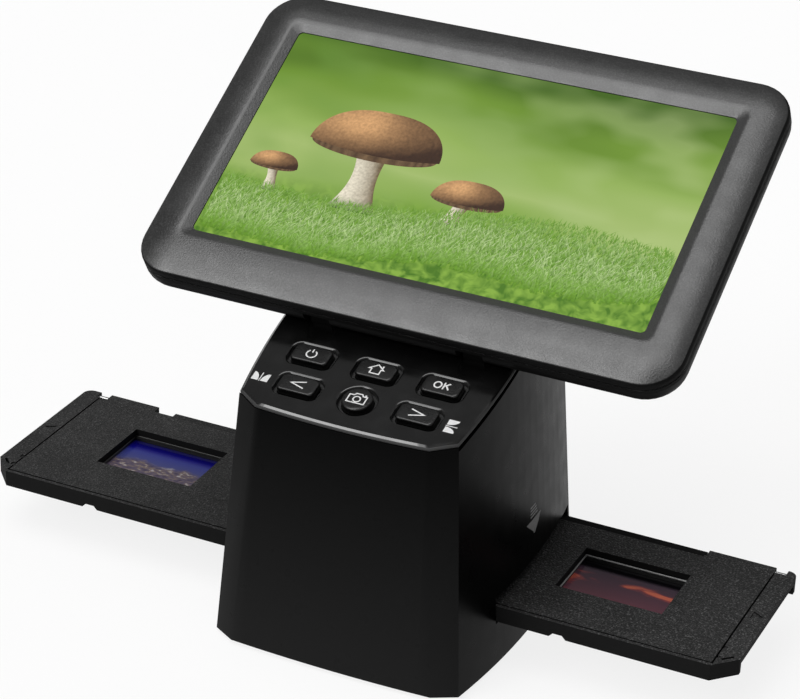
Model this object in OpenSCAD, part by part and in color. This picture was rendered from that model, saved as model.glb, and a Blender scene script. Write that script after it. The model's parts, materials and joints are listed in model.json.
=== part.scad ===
// Film and slide scanner: a tapered tower with a sloped control deck, a hinged
// seven inch display and a slide tray that passes through the body.
// Millimetres, +Z up, front towards -Y. The origin is on the desk, under the body.

/* [Body] */
// Height of the rubber feet below the body
foot_h = 1.5; // [1:0.25:3]
// Half width of the body at its front and rear corners, at the bottom
base_half_w = 42.3; // [41:0.5:48]
// Half width of the body at its corners, at the front edge of the deck
neck_half_w = 36.8; // [36:0.5:42]
// Body in front of the tray's slot, at the bottom
front_room = 27.9; // [26:0.5:34]
// Body behind the tray, at the bottom
rear_room = 7.8; // [7.2:0.2:14]
// How far the front face leans back from the bottom to the deck
front_lean = 3.3; // [1:0.1:5]
// How far the rear face leans forward from the bottom to the height of the deck's front edge
rear_lean = 6.2; // [2:0.1:6.4]
// Outward bow of the two side faces
side_bow = 3.7; // [1:0.1:5]
// Outward bow of the front and rear faces
face_bow = 1.1; // [0.4:0.1:2]
// Width of the cut vertical corners, across the body
corner_w = 7.6; // [5:0.2:10]
// Depth of the cut vertical corners, front to back
corner_d = 4.4; // [3:0.2:6]
// Wall thickness of the main shell
wall = 2.4; // [1.8:0.1:2.6]
// Thickness of the plate that closes the body below
base_t = 3; // [2.6:0.1:3.6]

/* [Control deck] */
// Height of the deck's front edge above the desk
deck_front_z = 85.7; // [84:0.5:92]
// Slope of the deck, rising to the rear
deck_slope = 17; // [16:0.5:18]
// Thickness of the deck plate
deck_t = 3; // [2.8:0.1:3.6]
// Thickness of the deck plate's rim
deck_lip = 1.1; // [1.1:0.1:1.3]
// Height of the shadow gap between the deck plate's rim and the sides of the shell
deck_gap = 1.4; // [0.8:0.1:1.5]
// Bevel along the deck's edge
deck_bevel = 0.8; // [0.3:0.1:1]
// Depth of the pockets around the buttons
pocket_depth = 1.6; // [1:0.1:1.8]
// Rounding of the pockets' rims
pocket_rim = 0.8; // [0.3:0.1:0.9]
// Height of the button tops above the deck
button_rise = 1; // [0.8:0.1:2]
// Width of a rectangular button
key_w = 12.6; // [11:0.1:13.4]
// Depth of a rectangular button
key_d = 7; // [6:0.1:7.6]
// Diameter of the round capture button
capture_d = 9.8; // [9:0.1:10.4]
// Gap between a button and its pocket's wall
pocket_gap = 1.2; // [0.8:0.1:1.4]
// Distance of the front button row from the deck's front edge
front_row = 11.5; // [11.2:0.1:12]
// Distance of the rear button row from the deck's front edge
rear_row = 25.3; // [25.2:0.1:26]
// Sideways distance of the outer buttons in the front row
front_row_x = 20; // [19:0.1:21]
// Sideways distance of the outer buttons in the rear row
rear_row_x = 22.1; // [21:0.1:22.6]
// Travel of a button
key_travel = 0.6; // [0.3:0.1:0.7]

/* [Display] */
// Width of the picture area
screen_w = 154.2; // [150:0.2:156]
// Height of the picture area
screen_h = 85.9; // [84:0.1:88]
// Housing beside the picture area
side_border = 15.1; // [14.6:0.1:18]
// Housing below the picture area
chin = 17.95; // [17.6:0.05:20]
// Housing above the picture area
brow = 16.4; // [16:0.1:20]
// Corner radius of the display housing
display_corner = 13; // [11:0.5:16]
// Tilt of the display above level, at rest
display_tilt = 30.4; // [20:0.1:60]
// Rise of the bezel's crown over the screen
bezel_crown = 1.75; // [1.5:0.05:2.2]
// Width of the bevel that runs down to the screen
bezel_bevel = 3.4; // [3:0.1:5.5]
// Tilt of the bezel's face at its outer edge
face_tilt = 24; // [20:1:26]
// Radius of the shoulder between the bezel's face and its side wall
shoulder_r = 1.4; // [1:0.1:1.8]
// Depth of the parting line behind the screen
parting_depth = 5; // [4.8:0.1:5.4]
// Wall thickness of the display housing
display_wall = 2; // [1.6:0.1:2.1]

/* [Display hinge] */
// Distance of the hinge axis behind the origin (negative is in front)
hinge_y = -8.15; // [-9:0.05:-7]
// Height of the hinge axis above the deck's surface
hinge_rise = 5.1; // [5.05:0.05:6]
// Radius of the housing's lower edge round the hinge axis
hinge_edge_r = 4.75; // [4.7:0.01:4.8]
// Depth of the hinge axis behind the screen
hinge_depth = 6.4; // [6.3:0.05:6.5]
// Radius of the hinge barrels
barrel_r = 2.5; // [2:0.1:2.5]
// Radius of the hinge pins
hinge_pin_r = 1; // [0.8:0.1:1.3]
// Running clearance of a hinge pin
pin_clear = 0.05; // [0.03:0.01:0.08]
// Sideways distance of the hinge stands
hinge_x = 26; // [24:0.5:40]
// Width of a hinge stand
stand_w = 7.6; // [6:0.2:9]

/* [Slide tray] */
// Length of the tray
tray_len = 263.8; // [262:0.2:270]
// Width of the tray
tray_w = 64.8; // [64:0.1:65.6]
// Thickness of the tray
tray_h = 5.5; // [5.3:0.1:6]
// Thickness of the tray's base
tray_floor = 3; // [2.9:0.05:3.1]
// Height of the tray's underside above the desk
tray_z = 16.5; // [16.2:0.1:18]
// Sideways place of the tray's middle at rest
tray_x = -10.8; // [-30:0.2:30]
// Place of the tray's middle behind the origin
tray_y = 10.4; // [10:0.1:10.8]
// Distance between the middles of two windows
pitch = 55.87; // [54:0.01:57]
// Width of a window in the cover
window_w = 35.8; // [34:0.1:37]
// Depth of a window in the cover
window_d = 26.5; // [25:0.1:28]
// Place of the windows behind the tray's middle
window_y = 1.35; // [1:0.05:1.8]
// Width of the bar at each end of the tray
end_bar = 6.7; // [6:0.1:8]
// Width of the lip along the tray's front
lip_w = 1.3; // [1:0.1:1.6]
// Width of the hinge rail along the tray's back
rail_w = 3; // [2.6:0.1:3.2]

/* [Slides] */
// Side of a slide mount
mount_w = 50; // [49:0.1:50.4]
// Thickness of a slide mount
mount_t = 2; // [1.4:0.1:2]
// Width of the picture in a slide mount
picture_w = 35; // [33:0.1:35.4]
// Depth of the picture in a slide mount
picture_d = 23.4; // [22:0.1:24]

/* [Hidden] */
$fn = 48;

// Clearances, and how far a cutter runs past what it cuts
cut = 1;
fit = 0.2;
close_fit = 0.1;
slide_fit = 0.2;
screw_fit = 0.05;
skin = 0.01;

// Body: its front and rear faces follow the tray's width, and every size is known at any height
tray_front = tray_y - tray_w / 2;
tray_back = tray_y + tray_w / 2;
base_front = front_room - tray_front;
neck_front = base_front - front_lean;
base_rear = tray_back + rear_room;
neck_rear = base_rear - rear_lean;
arc_steps = 16;
corner_step = 10;
body_top = 118;
cover_all = 300;
function at_z(low, high, z) = low + (high - low) * (z - foot_h) / (deck_front_z - foot_h);
function half_w(z) = at_z(base_half_w, neck_half_w, z);
function front_at(z) = at_z(base_front, neck_front, z);
function rear_at(z) = at_z(base_rear, neck_rear, z);
function bowed(a, b, bow) =
    let (d = b - a, out = [d.y, -d.x] / norm(d))
    [for (i = [0:arc_steps]) let (t = i / arc_steps) a + d * t + out * 4 * bow * t * (1 - t)];
function body_outline(z, side_in, front_in, rear_in) =
    let (xo = half_w(z) - side_in,
         xi = xo - corner_w,
         yf = -(front_at(z) - front_in),
         yr = rear_at(z) - rear_in)
    concat(bowed([-xi, yf], [xi, yf], face_bow),
           bowed([xo, yf + corner_d], [xo, yr - corner_d], side_bow),
           bowed([xi, yr], [-xi, yr], face_bow),
           bowed([-xo, yr - corner_d], [-xo, yf + corner_d], side_bow));

// Screws
screw_r = 1.25;
screw_head_r = 2.6;
screw_head_h = 1.5;
screw_grip = 6;
small_screw_r = 1;
small_head_r = 1.9;
small_head_h = 1.2;
small_grip = 3;

// Base
base_top = foot_h + base_t;
boss_r = 4.2;
boss_h = 8.6;
boss_x = base_half_w - 5.1;
boss_y = 37.5;
foot_r = 6;
foot_sink = 0.8;
foot_x = 26;
foot_y = 37;

// Tray
tray_top = tray_z + tray_h;
gate_y = tray_y + window_y;
slot_below = 0.6;
slot_above = 3;
slot_side = 0.6;
tray_corner_x = 7;
tray_corner_y = 7.5;
tray_back_r = 3;
bar_x = tray_len / 2 - end_bar;
lip_y = -tray_w / 2 + lip_w;
rail_y = tray_w / 2 - rail_w;
rail_top = 4.7;
cover_gap = 0.6;
rail_x0 = 35.7 - tray_len / 2;
rail_x1 = tray_len / 2 - 30.6;
ear_x0 = 9.9 - tray_len / 2;
ear_x1 = 29 - tray_len / 2;
bar_notch = 3.4;
window_xs = [for (i = [0:3]) (i - 1.5) * pitch];
mount_gap = 0.4;
pocket_floor = 0.9;
detent_offset = -8.6;
detent_w = 5.6;
detent_h = 1.3;
detent_d = 3;
end_roof = 2.2;
end_hollow = 5;
end_tab_front = 9;
end_tab_back = 4.5;
latch_slot_w = 0.9;
latch_slot_l = 4.2;
latch_slot_depth = 1.4;
latch_slot_x = tray_len / 2 - 3.6;
latch_slot_y = -tray_w / 2 + tray_corner_y - 1.2;
rim_wall = 2.2;
arrow_l = 3.6;
arrow_half = 2.2;
arrow_depth = 0.4;
clip_w = 1.1;
clip_l = 1.6;
clip_ys = [4.4, 10.4];
cover_z = tray_floor + close_fit;
tray_pin_r = 0.7;
tray_pin_y = tray_w / 2 - 1.5;
tray_pin_z = (cover_z + tray_h) / 2;
tray_pin_in = 5;
film_t = 0.15;
film_edge = 0.9;
film_slot = 1;

// Light box and film bed
bed_top = tray_z - slide_fit;
bed_t = 2.8;
bed_half_x = half_w(tray_top) - wall - 0.8;
bed_cut_x = 6.4;
bed_cut_y = 3.7;
bed_lip = 2;
bed_y0 = tray_front - slide_fit - bed_lip;
bed_y1 = tray_back + slide_fit + bed_lip;
box_half_x = 26;
box_half_y = 20;
box_wall = 2;
gate_w = window_w + 2;
gate_d = window_d + 2;
led_board_t = 1.6;
led_w = 3;
led_h = 0.8;
led_pitch_x = 9;
led_pitch_y = 10;
diffuser_t = 1.8;
guide_z = tray_top + slide_fit;
guide_t = 2.6;
guide_top = guide_z + guide_t;
spring_w = 3;
spring_l = 24;
spring_t = 0.5;
spring_y = tray_front + 2;
spring_drop = 1;
nose_half = 3.4;
nose_top_half = 1.2;

// Camera
hood_half_low = 23;
hood_half_top = 13;
hood_h = 34;
hood_wall = 1.6;
hood_top = guide_top + hood_h;
barrel_len = 13;
lens_barrel_r = 9;
lens_r = 7;
lens_t = 2.4;
barrel_low = hood_top - 4;
barrel_top = barrel_low + barrel_len;
barrel_flange = 2;
barrel_flange_t = 1.5;
lens_seat = 1;
camera_board_w = 30;
camera_board_t = 1.6;
sensor_w = 8;
sensor_h = 1.2;

// Main board and its sockets
board_t = 1.6;
board_y = neck_rear - 6.8;
board_back = board_y + board_t;
board_half_x = 30;
board_z0 = 29;
board_z1 = 74;
board_hole_x = 23;
board_hole_dz = 4;
standoff_r = 3;
socket_z = 46;
usb_x = -18;
usb_w = 9;
usb_h = 3.3;
video_x = -3;
video_w = 11.2;
video_h = 3.6;
card_x = 17;
card_w = 25;
card_h = 3;
socket_lip = 0.8;
socket_gap = 0.25;
socket_back = 1.5;
port_wall = 0.4;
card_wall = 0.3;
board_screw_zs = [board_z0 + board_hole_dz, board_z1 - board_hole_dz];

// Deck
slope_c = cos(deck_slope);
slope_s = sin(deck_slope);
deck_edge = 0.15;
deck_seam = 0.2;
key_corner = 1.6;
key_edge = 0.5;
key_hole_gap = 0.25;
flange = 1.1;
flange_t = 1.2;
flange_gap = 0.3;
flange_low = -deck_t - flange_gap - flange_t;
switch_gap = 0.2;
switch_top = flange_low - key_travel - switch_gap;
switch_w = 6;
switch_body = 1.2;
switch_knob = 0.5;
switch_knob_r = 1.6;
button_board_top = switch_top - switch_knob - switch_body;
button_board_t = 1.6;
button_board_half_x = 32.6;
button_board_s0 = front_row - 5.4;
button_board_s1 = rear_row + 5.8;
post_x = 31;
post_r = 1.5;
post_ss = [front_row + 1.1, rear_row + 3.3];
key_places = [[-rear_row_x, rear_row], [0, rear_row], [rear_row_x, rear_row],
              [-front_row_x, front_row], [front_row_x, front_row]];
capture_place = [0, front_row];

// Hinge, in the deck's own frame (x, up the slope, off the surface)
hinge_z = deck_front_z + (hinge_y + neck_front) * tan(deck_slope) + hinge_rise / slope_c;
hinge_s = (hinge_y + neck_front) * slope_c + (hinge_z - deck_front_z) * slope_s;
neck_t = 4;
neck_side = 0.3;
neck_top = hinge_rise - hinge_pin_r - pin_clear - close_fit;
stand_flange_w = 13;
stand_flange_l = 16;
stand_flange_t = 1.6;
stand_screw_s = 5.5;
stand_screw_in = 1.8;
ear_w = 3.4;
ear_gap = 0.4;
notch_half = stand_w / 2 + 0.7;
notch_up = 3.4;
bracket_l = 18;
bracket_start = 5.2;
bracket_t = 1.5;
bracket_half = stand_w / 2 + ear_gap + ear_w;
bracket_screw_s = 12;
bracket_grip = 0.9;

// Display, in its own frame (x, up the screen, out of the screen)
display_w = screen_w + 2 * side_border;
display_h = chin + screen_h + brow;
display_mid = (screen_h + brow - chin) / 2;
axis_s = hinge_edge_r - chin;
back_d = -hinge_depth - hinge_edge_r;
inner_floor = back_d + display_wall;
face_flat = 0.1;
crown_w = side_border - bezel_bevel - face_flat;
crown_skin = 1.6;
shoulder_in = shoulder_r * (1 - sin(face_tilt));
face_r = (crown_w - shoulder_in) / sin(face_tilt);
shoulder_d = bezel_crown - face_r * (1 - cos(face_tilt)) - shoulder_r * cos(face_tilt);
shoulder_steps = 4;
face_steps = 5;
crest_levels = [[0.8, 0.8], [1, 0.93], [1.25, 1]];
groove_h = 0.5;
groove_in = 0.35;
groove_d = -3.5;
round_steps = 6;
lcd_margin_x = 5.3;
lcd_margin_low = 6.5;
lcd_margin_top = 6.2;
lcd_back = 0.05;
lcd_t = 5;
bezel_lip = 0.25;
screen_corner = 1.6;
display_board_w = 90;
display_board_h = 46;
display_board_s = 48;
display_board_t = 1.4;
pad_h = 0.5;
pad_r = 3;
display_boss_x = display_w / 2 - 5.6;
display_boss_ss = [12, 78];
display_boss_r = 3;
display_sink = 2;
boss_cap = 1;

// ---------- shared shapes ----------

module rounded_rect(w, d, r) {
    square([w - 2 * r, d], center = true);
    square([w, d - 2 * r], center = true);
    for (x = [-1, 1], y = [-1, 1])
        translate([x * (w / 2 - r), y * (d / 2 - r)])
            circle(r = r);
}

// Points of a rounded rectangle, for shapes that are blended from level to level
function rounded_points(w, d, r) =
    [for (q = [0:3], a = [0:corner_step:90])
        let (sx = q == 0 || q == 3 ? 1 : -1, sy = q < 2 ? 1 : -1)
        [sx * (w / 2 - r) + r * cos(90 * q + a), sy * (d / 2 - r) + r * sin(90 * q + a)]];

// A solid whose skin runs through outlines with equally many points, each [outline, height]
module ring_loft(rings) {
    n = len(rings[0][0]);
    top = (len(rings) - 1) * n;
    polyhedron(
        points = [for (ring = rings, p = ring[0]) [p.x, p.y, ring[1]]],
        faces = concat(
            [[for (i = [0:n - 1]) i]],
            [for (k = [0:n:top - n], i = [0:n - 1]) [k + i, k + n + i, k + n + (i + 1) % n]],
            [for (k = [0:n:top - n], i = [0:n - 1]) [k + i, k + n + (i + 1) % n, k + (i + 1) % n]],
            [[for (i = [n - 1:-1:0]) top + i]]));
}

// The tapered body between two heights, set in from the outer faces
module body_loft(z_low, z_high, side_in, front_in, rear_in) {
    ring_loft([for (z = [z_low, z_high]) [body_outline(z, side_in, front_in, rear_in), z]]);
}

// The deck's frame: origin at its front edge, X across, Y up the slope, Z off the surface
module on_deck() {
    translate([0, -neck_front, deck_front_z])
        rotate([deck_slope, 0, 0])
            children();
}

module deck_slab(d_low, d_high) {
    on_deck()
        translate([-cover_all / 2, -cover_all / 2, d_low])
            cube([cover_all, cover_all, d_high - d_low]);
}

// The display's frame: origin at the middle of the picture's lower edge
module on_display() {
    translate([0, hinge_y, hinge_z])
        rotate([display_tilt, 0, 0])
            translate([0, -axis_s, hinge_depth])
                children();
}

// The hinge axis in the display's frame
module on_hinge_axis() {
    on_display()
        translate([0, axis_s, -hinge_depth])
            children();
}

module on_tray() {
    translate([tray_x, tray_y, tray_z])
        children();
}

module along_x(x0, x1, r) {
    translate([x0, 0, 0])
        rotate([0, 90, 0])
            cylinder(h = x1 - x0, r = r);
}

module along_y(y0, y1, r) {
    translate([0, y0, 0])
        rotate([-90, 0, 0])
            cylinder(h = y1 - y0, r = r);
}

// ---------- body ----------

module tray_slot() {
    translate([-cover_all / 2, tray_front - slot_side, tray_z - slot_below])
        cube([cover_all, tray_w + 2 * slot_side, tray_h + slot_below + slot_above]);
}

module socket_hole(x, w, h) {
    translate([x - w / 2 - socket_gap, board_back, socket_z - h / 2 - socket_gap])
        cube([w + 2 * socket_gap, base_rear, h + 2 * socket_gap]);
}

module shell_posts() {
    for (x = [-boss_x, boss_x], y = [-boss_y, boss_y])
        translate([x, y, base_top])
            cylinder(h = boss_h, r = boss_r);
    for (x = [-board_hole_x, board_hole_x], z = board_screw_zs)
        translate([x, 0, z])
            along_y(board_back, base_rear, standoff_r);
}

module main_shell() {
    color("#1b1c1e")
        difference() {
            body_loft(foot_h, body_top, 0, 0, 0);
            difference() {
                body_loft(foot_h - cut, body_top, wall, wall, wall);
                shell_posts();
            }
            deck_slab(-deck_lip - deck_seam, body_top);
            intersection() {
                deck_slab(-deck_lip - deck_gap, body_top);
                translate([-cover_all / 2, -neck_front + corner_d, 0])
                    cube([cover_all, cover_all, body_top + cut]);
            }
            tray_slot();
            socket_hole(usb_x, usb_w, usb_h);
            socket_hole(video_x, video_w, video_h);
            socket_hole(card_x, card_w, card_h);
            for (x = [-boss_x, boss_x], y = [-boss_y, boss_y])
                translate([x, y, foot_h])
                    cylinder(h = base_t + screw_grip + cut, r = screw_r + screw_fit);
            for (x = [-board_hole_x, board_hole_x], z = board_screw_zs)
                translate([x, 0, z])
                    along_y(board_y, board_back + small_grip + cut, small_screw_r + screw_fit);
        }
}

module base_plate() {
    color("#18191a")
        difference() {
            body_loft(foot_h, base_top, wall + fit, wall + fit, wall + fit);
            for (x = [-boss_x, boss_x], y = [-boss_y, boss_y])
                translate([x, y, 0]) {
                    cylinder(h = base_top + cut, r = screw_r + fit);
                    cylinder(h = foot_h + screw_head_h, r = screw_head_r + fit);
                }
            for (x = [-foot_x, foot_x], y = [-foot_y, foot_y])
                translate([x, y, 0])
                    cylinder(h = foot_h + foot_sink, r = foot_r + close_fit);
        }
}

module rubber_feet() {
    color("#111111")
        for (x = [-foot_x, foot_x], y = [-foot_y, foot_y])
            translate([x, y, 0]) {
                cylinder(h = foot_h / 2, r1 = foot_r - foot_h / 2, r2 = foot_r);
                translate([0, 0, foot_h / 2])
                    cylinder(h = foot_h / 2 + foot_sink, r = foot_r);
            }
}

module screw(r, length, head_r, head_h) {
    cylinder(h = head_h, r = head_r);
    translate([0, 0, head_h])
        cylinder(h = length, r = r);
}

module base_screws() {
    color("#8d8f92")
        for (x = [-boss_x, boss_x], y = [-boss_y, boss_y])
            translate([x, y, foot_h])
                screw(screw_r, base_t - screw_head_h + screw_grip, screw_head_r, screw_head_h);
}

// ---------- control deck and buttons ----------

module key_shape(grow) {
    rounded_rect(key_w + 2 * grow, key_d + 2 * grow, key_corner + grow);
}

// A layer of the deck plate, set in from the shell's outer faces
module deck_layer(inset, d_low, d_high) {
    intersection() {
        body_loft(foot_h, body_top, inset, inset, inset);
        deck_slab(d_low, d_high);
    }
}

// Growth and height of each level of a pocket, whose rim is rounded
pocket_levels = concat([[pocket_gap, -pocket_depth]],
                       [for (a = [0:30:90]) [pocket_gap + pocket_rim * (1 - cos(a)),
                                             pocket_rim * (sin(a) - 1)]],
                       [[pocket_gap + pocket_rim, cut]]);

module control_deck() {
    color("#262728")
        difference() {
            union() {
                hull() {
                    deck_layer(deck_edge, -deck_lip, -deck_bevel);
                    deck_layer(deck_edge + deck_bevel, -deck_bevel, 0);
                }
                deck_layer(wall + fit, -deck_t, -deck_lip);
                on_deck()
                    for (x = [-post_x, post_x], s = post_ss)
                        translate([x, s, button_board_top])
                            cylinder(h = -deck_t - button_board_top, r = post_r);
            }
            on_deck() {
                for (place = key_places)
                    translate([place.x, place.y, 0]) {
                        ring_loft([for (level = pocket_levels)
                            [rounded_points(key_w + 2 * level.x, key_d + 2 * level.x,
                                            key_corner + level.x),
                             level.y]]);
                        translate([0, 0, -deck_t - cut])
                            linear_extrude(deck_t)
                                key_shape(key_hole_gap);
                    }
                translate([capture_place.x, capture_place.y, 0]) {
                    rotate_extrude()
                        polygon(concat([[0, cut], [0, -pocket_depth]],
                                       [for (level = pocket_levels)
                                           [capture_d / 2 + level.x, level.y]]));
                    translate([0, 0, -deck_t - cut])
                        cylinder(h = deck_t, r = capture_d / 2 + key_hole_gap);
                }
                for (side = [-1, 1])
                    translate([side * hinge_x, hinge_s, 0]) {
                        translate([0, 0, -deck_t / 2])
                            cube([stand_w + 2 * close_fit, neck_t + 2 * close_fit, deck_t + 2 * cut],
                                 center = true);
                        for (s = [-stand_screw_s, stand_screw_s])
                            translate([0, s, -deck_t - cut])
                                cylinder(h = cut + stand_screw_in + fit, r = small_screw_r + screw_fit);
                    }
            }
        }
}

module key_cap(place) {
    color("#36373a")
        on_deck()
            translate([place.x, place.y, 0]) {
                ring_loft([for (level = [[0, flange_low + flange_t], [0, button_rise - key_edge],
                                         [key_edge / 3, button_rise - key_edge / 3],
                                         [key_edge, button_rise]])
                    [rounded_points(key_w - 2 * level.x, key_d - 2 * level.x, key_corner - level.x),
                     level.y]]);
                translate([0, 0, flange_low])
                    linear_extrude(flange_t)
                        key_shape(flange);
            }
}

module power_button() {
    key_cap(key_places[0]);
}

module home_button() {
    key_cap(key_places[1]);
}

module ok_button() {
    key_cap(key_places[2]);
}

module left_button() {
    key_cap(key_places[3]);
}

module right_button() {
    key_cap(key_places[4]);
}

module capture_button() {
    color("#36373a")
        on_deck()
            translate([capture_place.x, capture_place.y, 0])
                rotate_extrude()
                    polygon([[0, flange_low],
                             [capture_d / 2 + flange, flange_low],
                             [capture_d / 2 + flange, flange_low + flange_t],
                             [capture_d / 2, flange_low + flange_t],
                             [capture_d / 2, button_rise - key_edge],
                             [capture_d / 2 - key_edge / 3, button_rise - key_edge / 3],
                             [capture_d / 2 - key_edge, button_rise],
                             [0, button_rise]]);
}

module button_board() {
    color("#1d5c3a")
        on_deck()
            translate([-button_board_half_x, button_board_s0, button_board_top - button_board_t])
                cube([2 * button_board_half_x, button_board_s1 - button_board_s0, button_board_t]);
}

module push_switches() {
    color("#b9babc")
        on_deck()
            for (place = concat(key_places, [capture_place]))
                translate([place.x, place.y, button_board_top]) {
                    translate([-switch_w / 2, -switch_w / 2, 0])
                        cube([switch_w, switch_w, switch_body]);
                    translate([0, 0, switch_body])
                        cylinder(h = switch_knob, r = switch_knob_r);
                }
}

// ---------- light box, film bed and camera ----------

module gate_opening(z0, z1) {
    translate([-gate_w / 2, gate_y - gate_d / 2, z0])
        cube([gate_w, gate_d, z1 - z0]);
}

// Outline of the film bed and the upper guide, cut at the body's rear corners
module bed_outline() {
    polygon([[-bed_half_x, bed_y0], [bed_half_x, bed_y0], [bed_half_x, bed_y1 - bed_cut_y],
             [bed_half_x - bed_cut_x, bed_y1], [bed_cut_x - bed_half_x, bed_y1],
             [-bed_half_x, bed_y1 - bed_cut_y]]);
}

module film_bed() {
    color("#202123")
        difference() {
            union() {
                difference() {
                    translate([0, 0, bed_top - bed_t])
                        linear_extrude(guide_z - bed_top + bed_t)
                            bed_outline();
                    translate([-bed_half_x - cut, bed_y0 + bed_lip, bed_top])
                        cube([2 * (bed_half_x + cut), bed_y1 - bed_y0 - 2 * bed_lip, tray_h + cut]);
                }
                translate([-box_half_x, gate_y - box_half_y, base_top])
                    cube([2 * box_half_x, 2 * box_half_y, bed_top - bed_t - base_top]);
            }
            translate([-box_half_x + box_wall, gate_y - box_half_y + box_wall, base_top - cut])
                cube([2 * (box_half_x - box_wall), 2 * (box_half_y - box_wall),
                      bed_top - bed_t - base_top + cut]);
            gate_opening(base_top, bed_top + cut);
            translate([detent_offset - spring_l / 2 - fit, spring_y - spring_w / 2 - fit,
                       bed_top - 2 * spring_t - spring_drop])
                cube([spring_l + 2 * fit, spring_w + 2 * fit, 2 * spring_t + spring_drop + cut]);
        }
}

module led_board() {
    color("#e8e8e4")
        translate([-box_half_x + box_wall + fit, gate_y - box_half_y + box_wall + fit, base_top])
            cube([2 * (box_half_x - box_wall - fit), 2 * (box_half_y - box_wall - fit), led_board_t]);
}

module led_chips() {
    color("#f4e9a0")
        for (i = [-2:2], j = [-1:1])
            translate([i * led_pitch_x - led_w / 2, gate_y + j * led_pitch_y - led_w / 2,
                       base_top + led_board_t])
                cube([led_w, led_w, led_h]);
}

module diffuser_plate() {
    color("#f2f3f4")
        translate([-box_half_x + box_wall + fit, gate_y - box_half_y + box_wall + fit,
                   bed_top - bed_t - diffuser_t])
            cube([2 * (box_half_x - box_wall - fit), 2 * (box_half_y - box_wall - fit), diffuser_t]);
}

module upper_guide() {
    color("#202123")
        difference() {
            translate([0, 0, guide_z])
                linear_extrude(guide_t)
                    bed_outline();
            gate_opening(guide_z - cut, guide_top + cut);
        }
}

// Leaf that clicks into the notches of the tray, with its nose just below the tray
module detent_spring() {
    color("#b8bcc0")
        translate([detent_offset, spring_y, bed_top - 2 * spring_t]) {
            translate([-spring_l / 2, -spring_w / 2, -spring_drop])
                cube([spring_l, spring_w, spring_t]);
            translate([0, spring_w / 2, 0])
                rotate([90, 0, 0])
                    linear_extrude(spring_w)
                        polygon([[-nose_half, spring_t - spring_drop], [-nose_top_half, 2 * spring_t],
                                 [nose_top_half, 2 * spring_t], [nose_half, spring_t - spring_drop]]);
        }
}

module camera_hood() {
    color("#161718")
        difference() {
            hull() {
                translate([0, gate_y, guide_top])
                    linear_extrude(skin)
                        square(2 * hood_half_low, center = true);
                translate([0, gate_y, hood_top - skin])
                    linear_extrude(skin)
                        square(2 * hood_half_top, center = true);
            }
            hull() {
                translate([0, gate_y, guide_top - skin])
                    linear_extrude(skin)
                        square(2 * (hood_half_low - hood_wall), center = true);
                translate([0, gate_y, hood_top - 2 * hood_wall])
                    linear_extrude(skin)
                        square(2 * (hood_half_top - hood_wall), center = true);
            }
            translate([0, gate_y, guide_top + cut])
                cylinder(h = hood_h, r = lens_barrel_r + screw_fit);
        }
}

module lens_barrel() {
    color("#0f1011")
        translate([0, gate_y, 0])
            difference() {
                union() {
                    translate([0, 0, barrel_low])
                        cylinder(h = barrel_len, r = lens_barrel_r);
                    translate([0, 0, hood_top])
                        cylinder(h = barrel_flange_t, r = lens_barrel_r + barrel_flange);
                }
                translate([0, 0, barrel_low - cut])
                    cylinder(h = cut + lens_seat + lens_t, r = lens_r + screw_fit);
                translate([0, 0, barrel_low])
                    cylinder(h = barrel_len + cut, r = lens_r - lens_seat);
            }
}

module lens_glass() {
    color("#9fb6c8")
        translate([0, gate_y, barrel_low])
            rotate_extrude()
                polygon(concat([[0, lens_t + lens_seat], [lens_r, lens_t + lens_seat], [lens_r, lens_seat]],
                               [for (a = [80:-10:0]) [lens_r * sin(a), lens_seat * (1 - cos(a))]]));
}

module sensor_board() {
    color("#1d5c3a")
        translate([-camera_board_w / 2, gate_y - camera_board_w / 2, barrel_top])
            cube([camera_board_w, camera_board_w, camera_board_t]);
}

module image_sensor() {
    color("#33343a")
        translate([-sensor_w / 2, gate_y - sensor_w / 2, barrel_top - sensor_h])
            cube([sensor_w, sensor_w, sensor_h]);
}

// ---------- main board ----------

module main_board() {
    color("#1d5c3a")
        difference() {
            translate([-board_half_x, board_y, board_z0])
                cube([2 * board_half_x, board_t, board_z1 - board_z0]);
            for (x = [-board_hole_x, board_hole_x], z = board_screw_zs)
                translate([x, 0, z])
                    along_y(board_y - cut, board_back + cut, small_screw_r + fit);
        }
}

module board_screws() {
    color("#b0b3b6")
        for (x = [-board_hole_x, board_hole_x], z = board_screw_zs)
            translate([x, board_y - small_head_h, z])
                rotate([-90, 0, 0])
                    screw(small_screw_r, board_t + small_grip, small_head_r, small_head_h);
}

// A metal socket whose mouth lies in the rear face
module socket(x, w, h, mouth_wall) {
    color("#a9acb0")
        difference() {
            translate([x - w / 2, board_back, socket_z - h / 2])
                cube([w, rear_at(socket_z) - socket_lip - board_back, h]);
            translate([x - w / 2 + mouth_wall, board_back + socket_back, socket_z - h / 2 + mouth_wall])
                cube([w - 2 * mouth_wall, base_rear, h - 2 * mouth_wall]);
        }
}

module usb_socket() {
    socket(usb_x, usb_w, usb_h, port_wall);
}

module video_socket() {
    socket(video_x, video_w, video_h, port_wall);
}

module card_slot() {
    socket(card_x, card_w, card_h, card_wall);
}

// ---------- display hinge ----------

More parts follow.
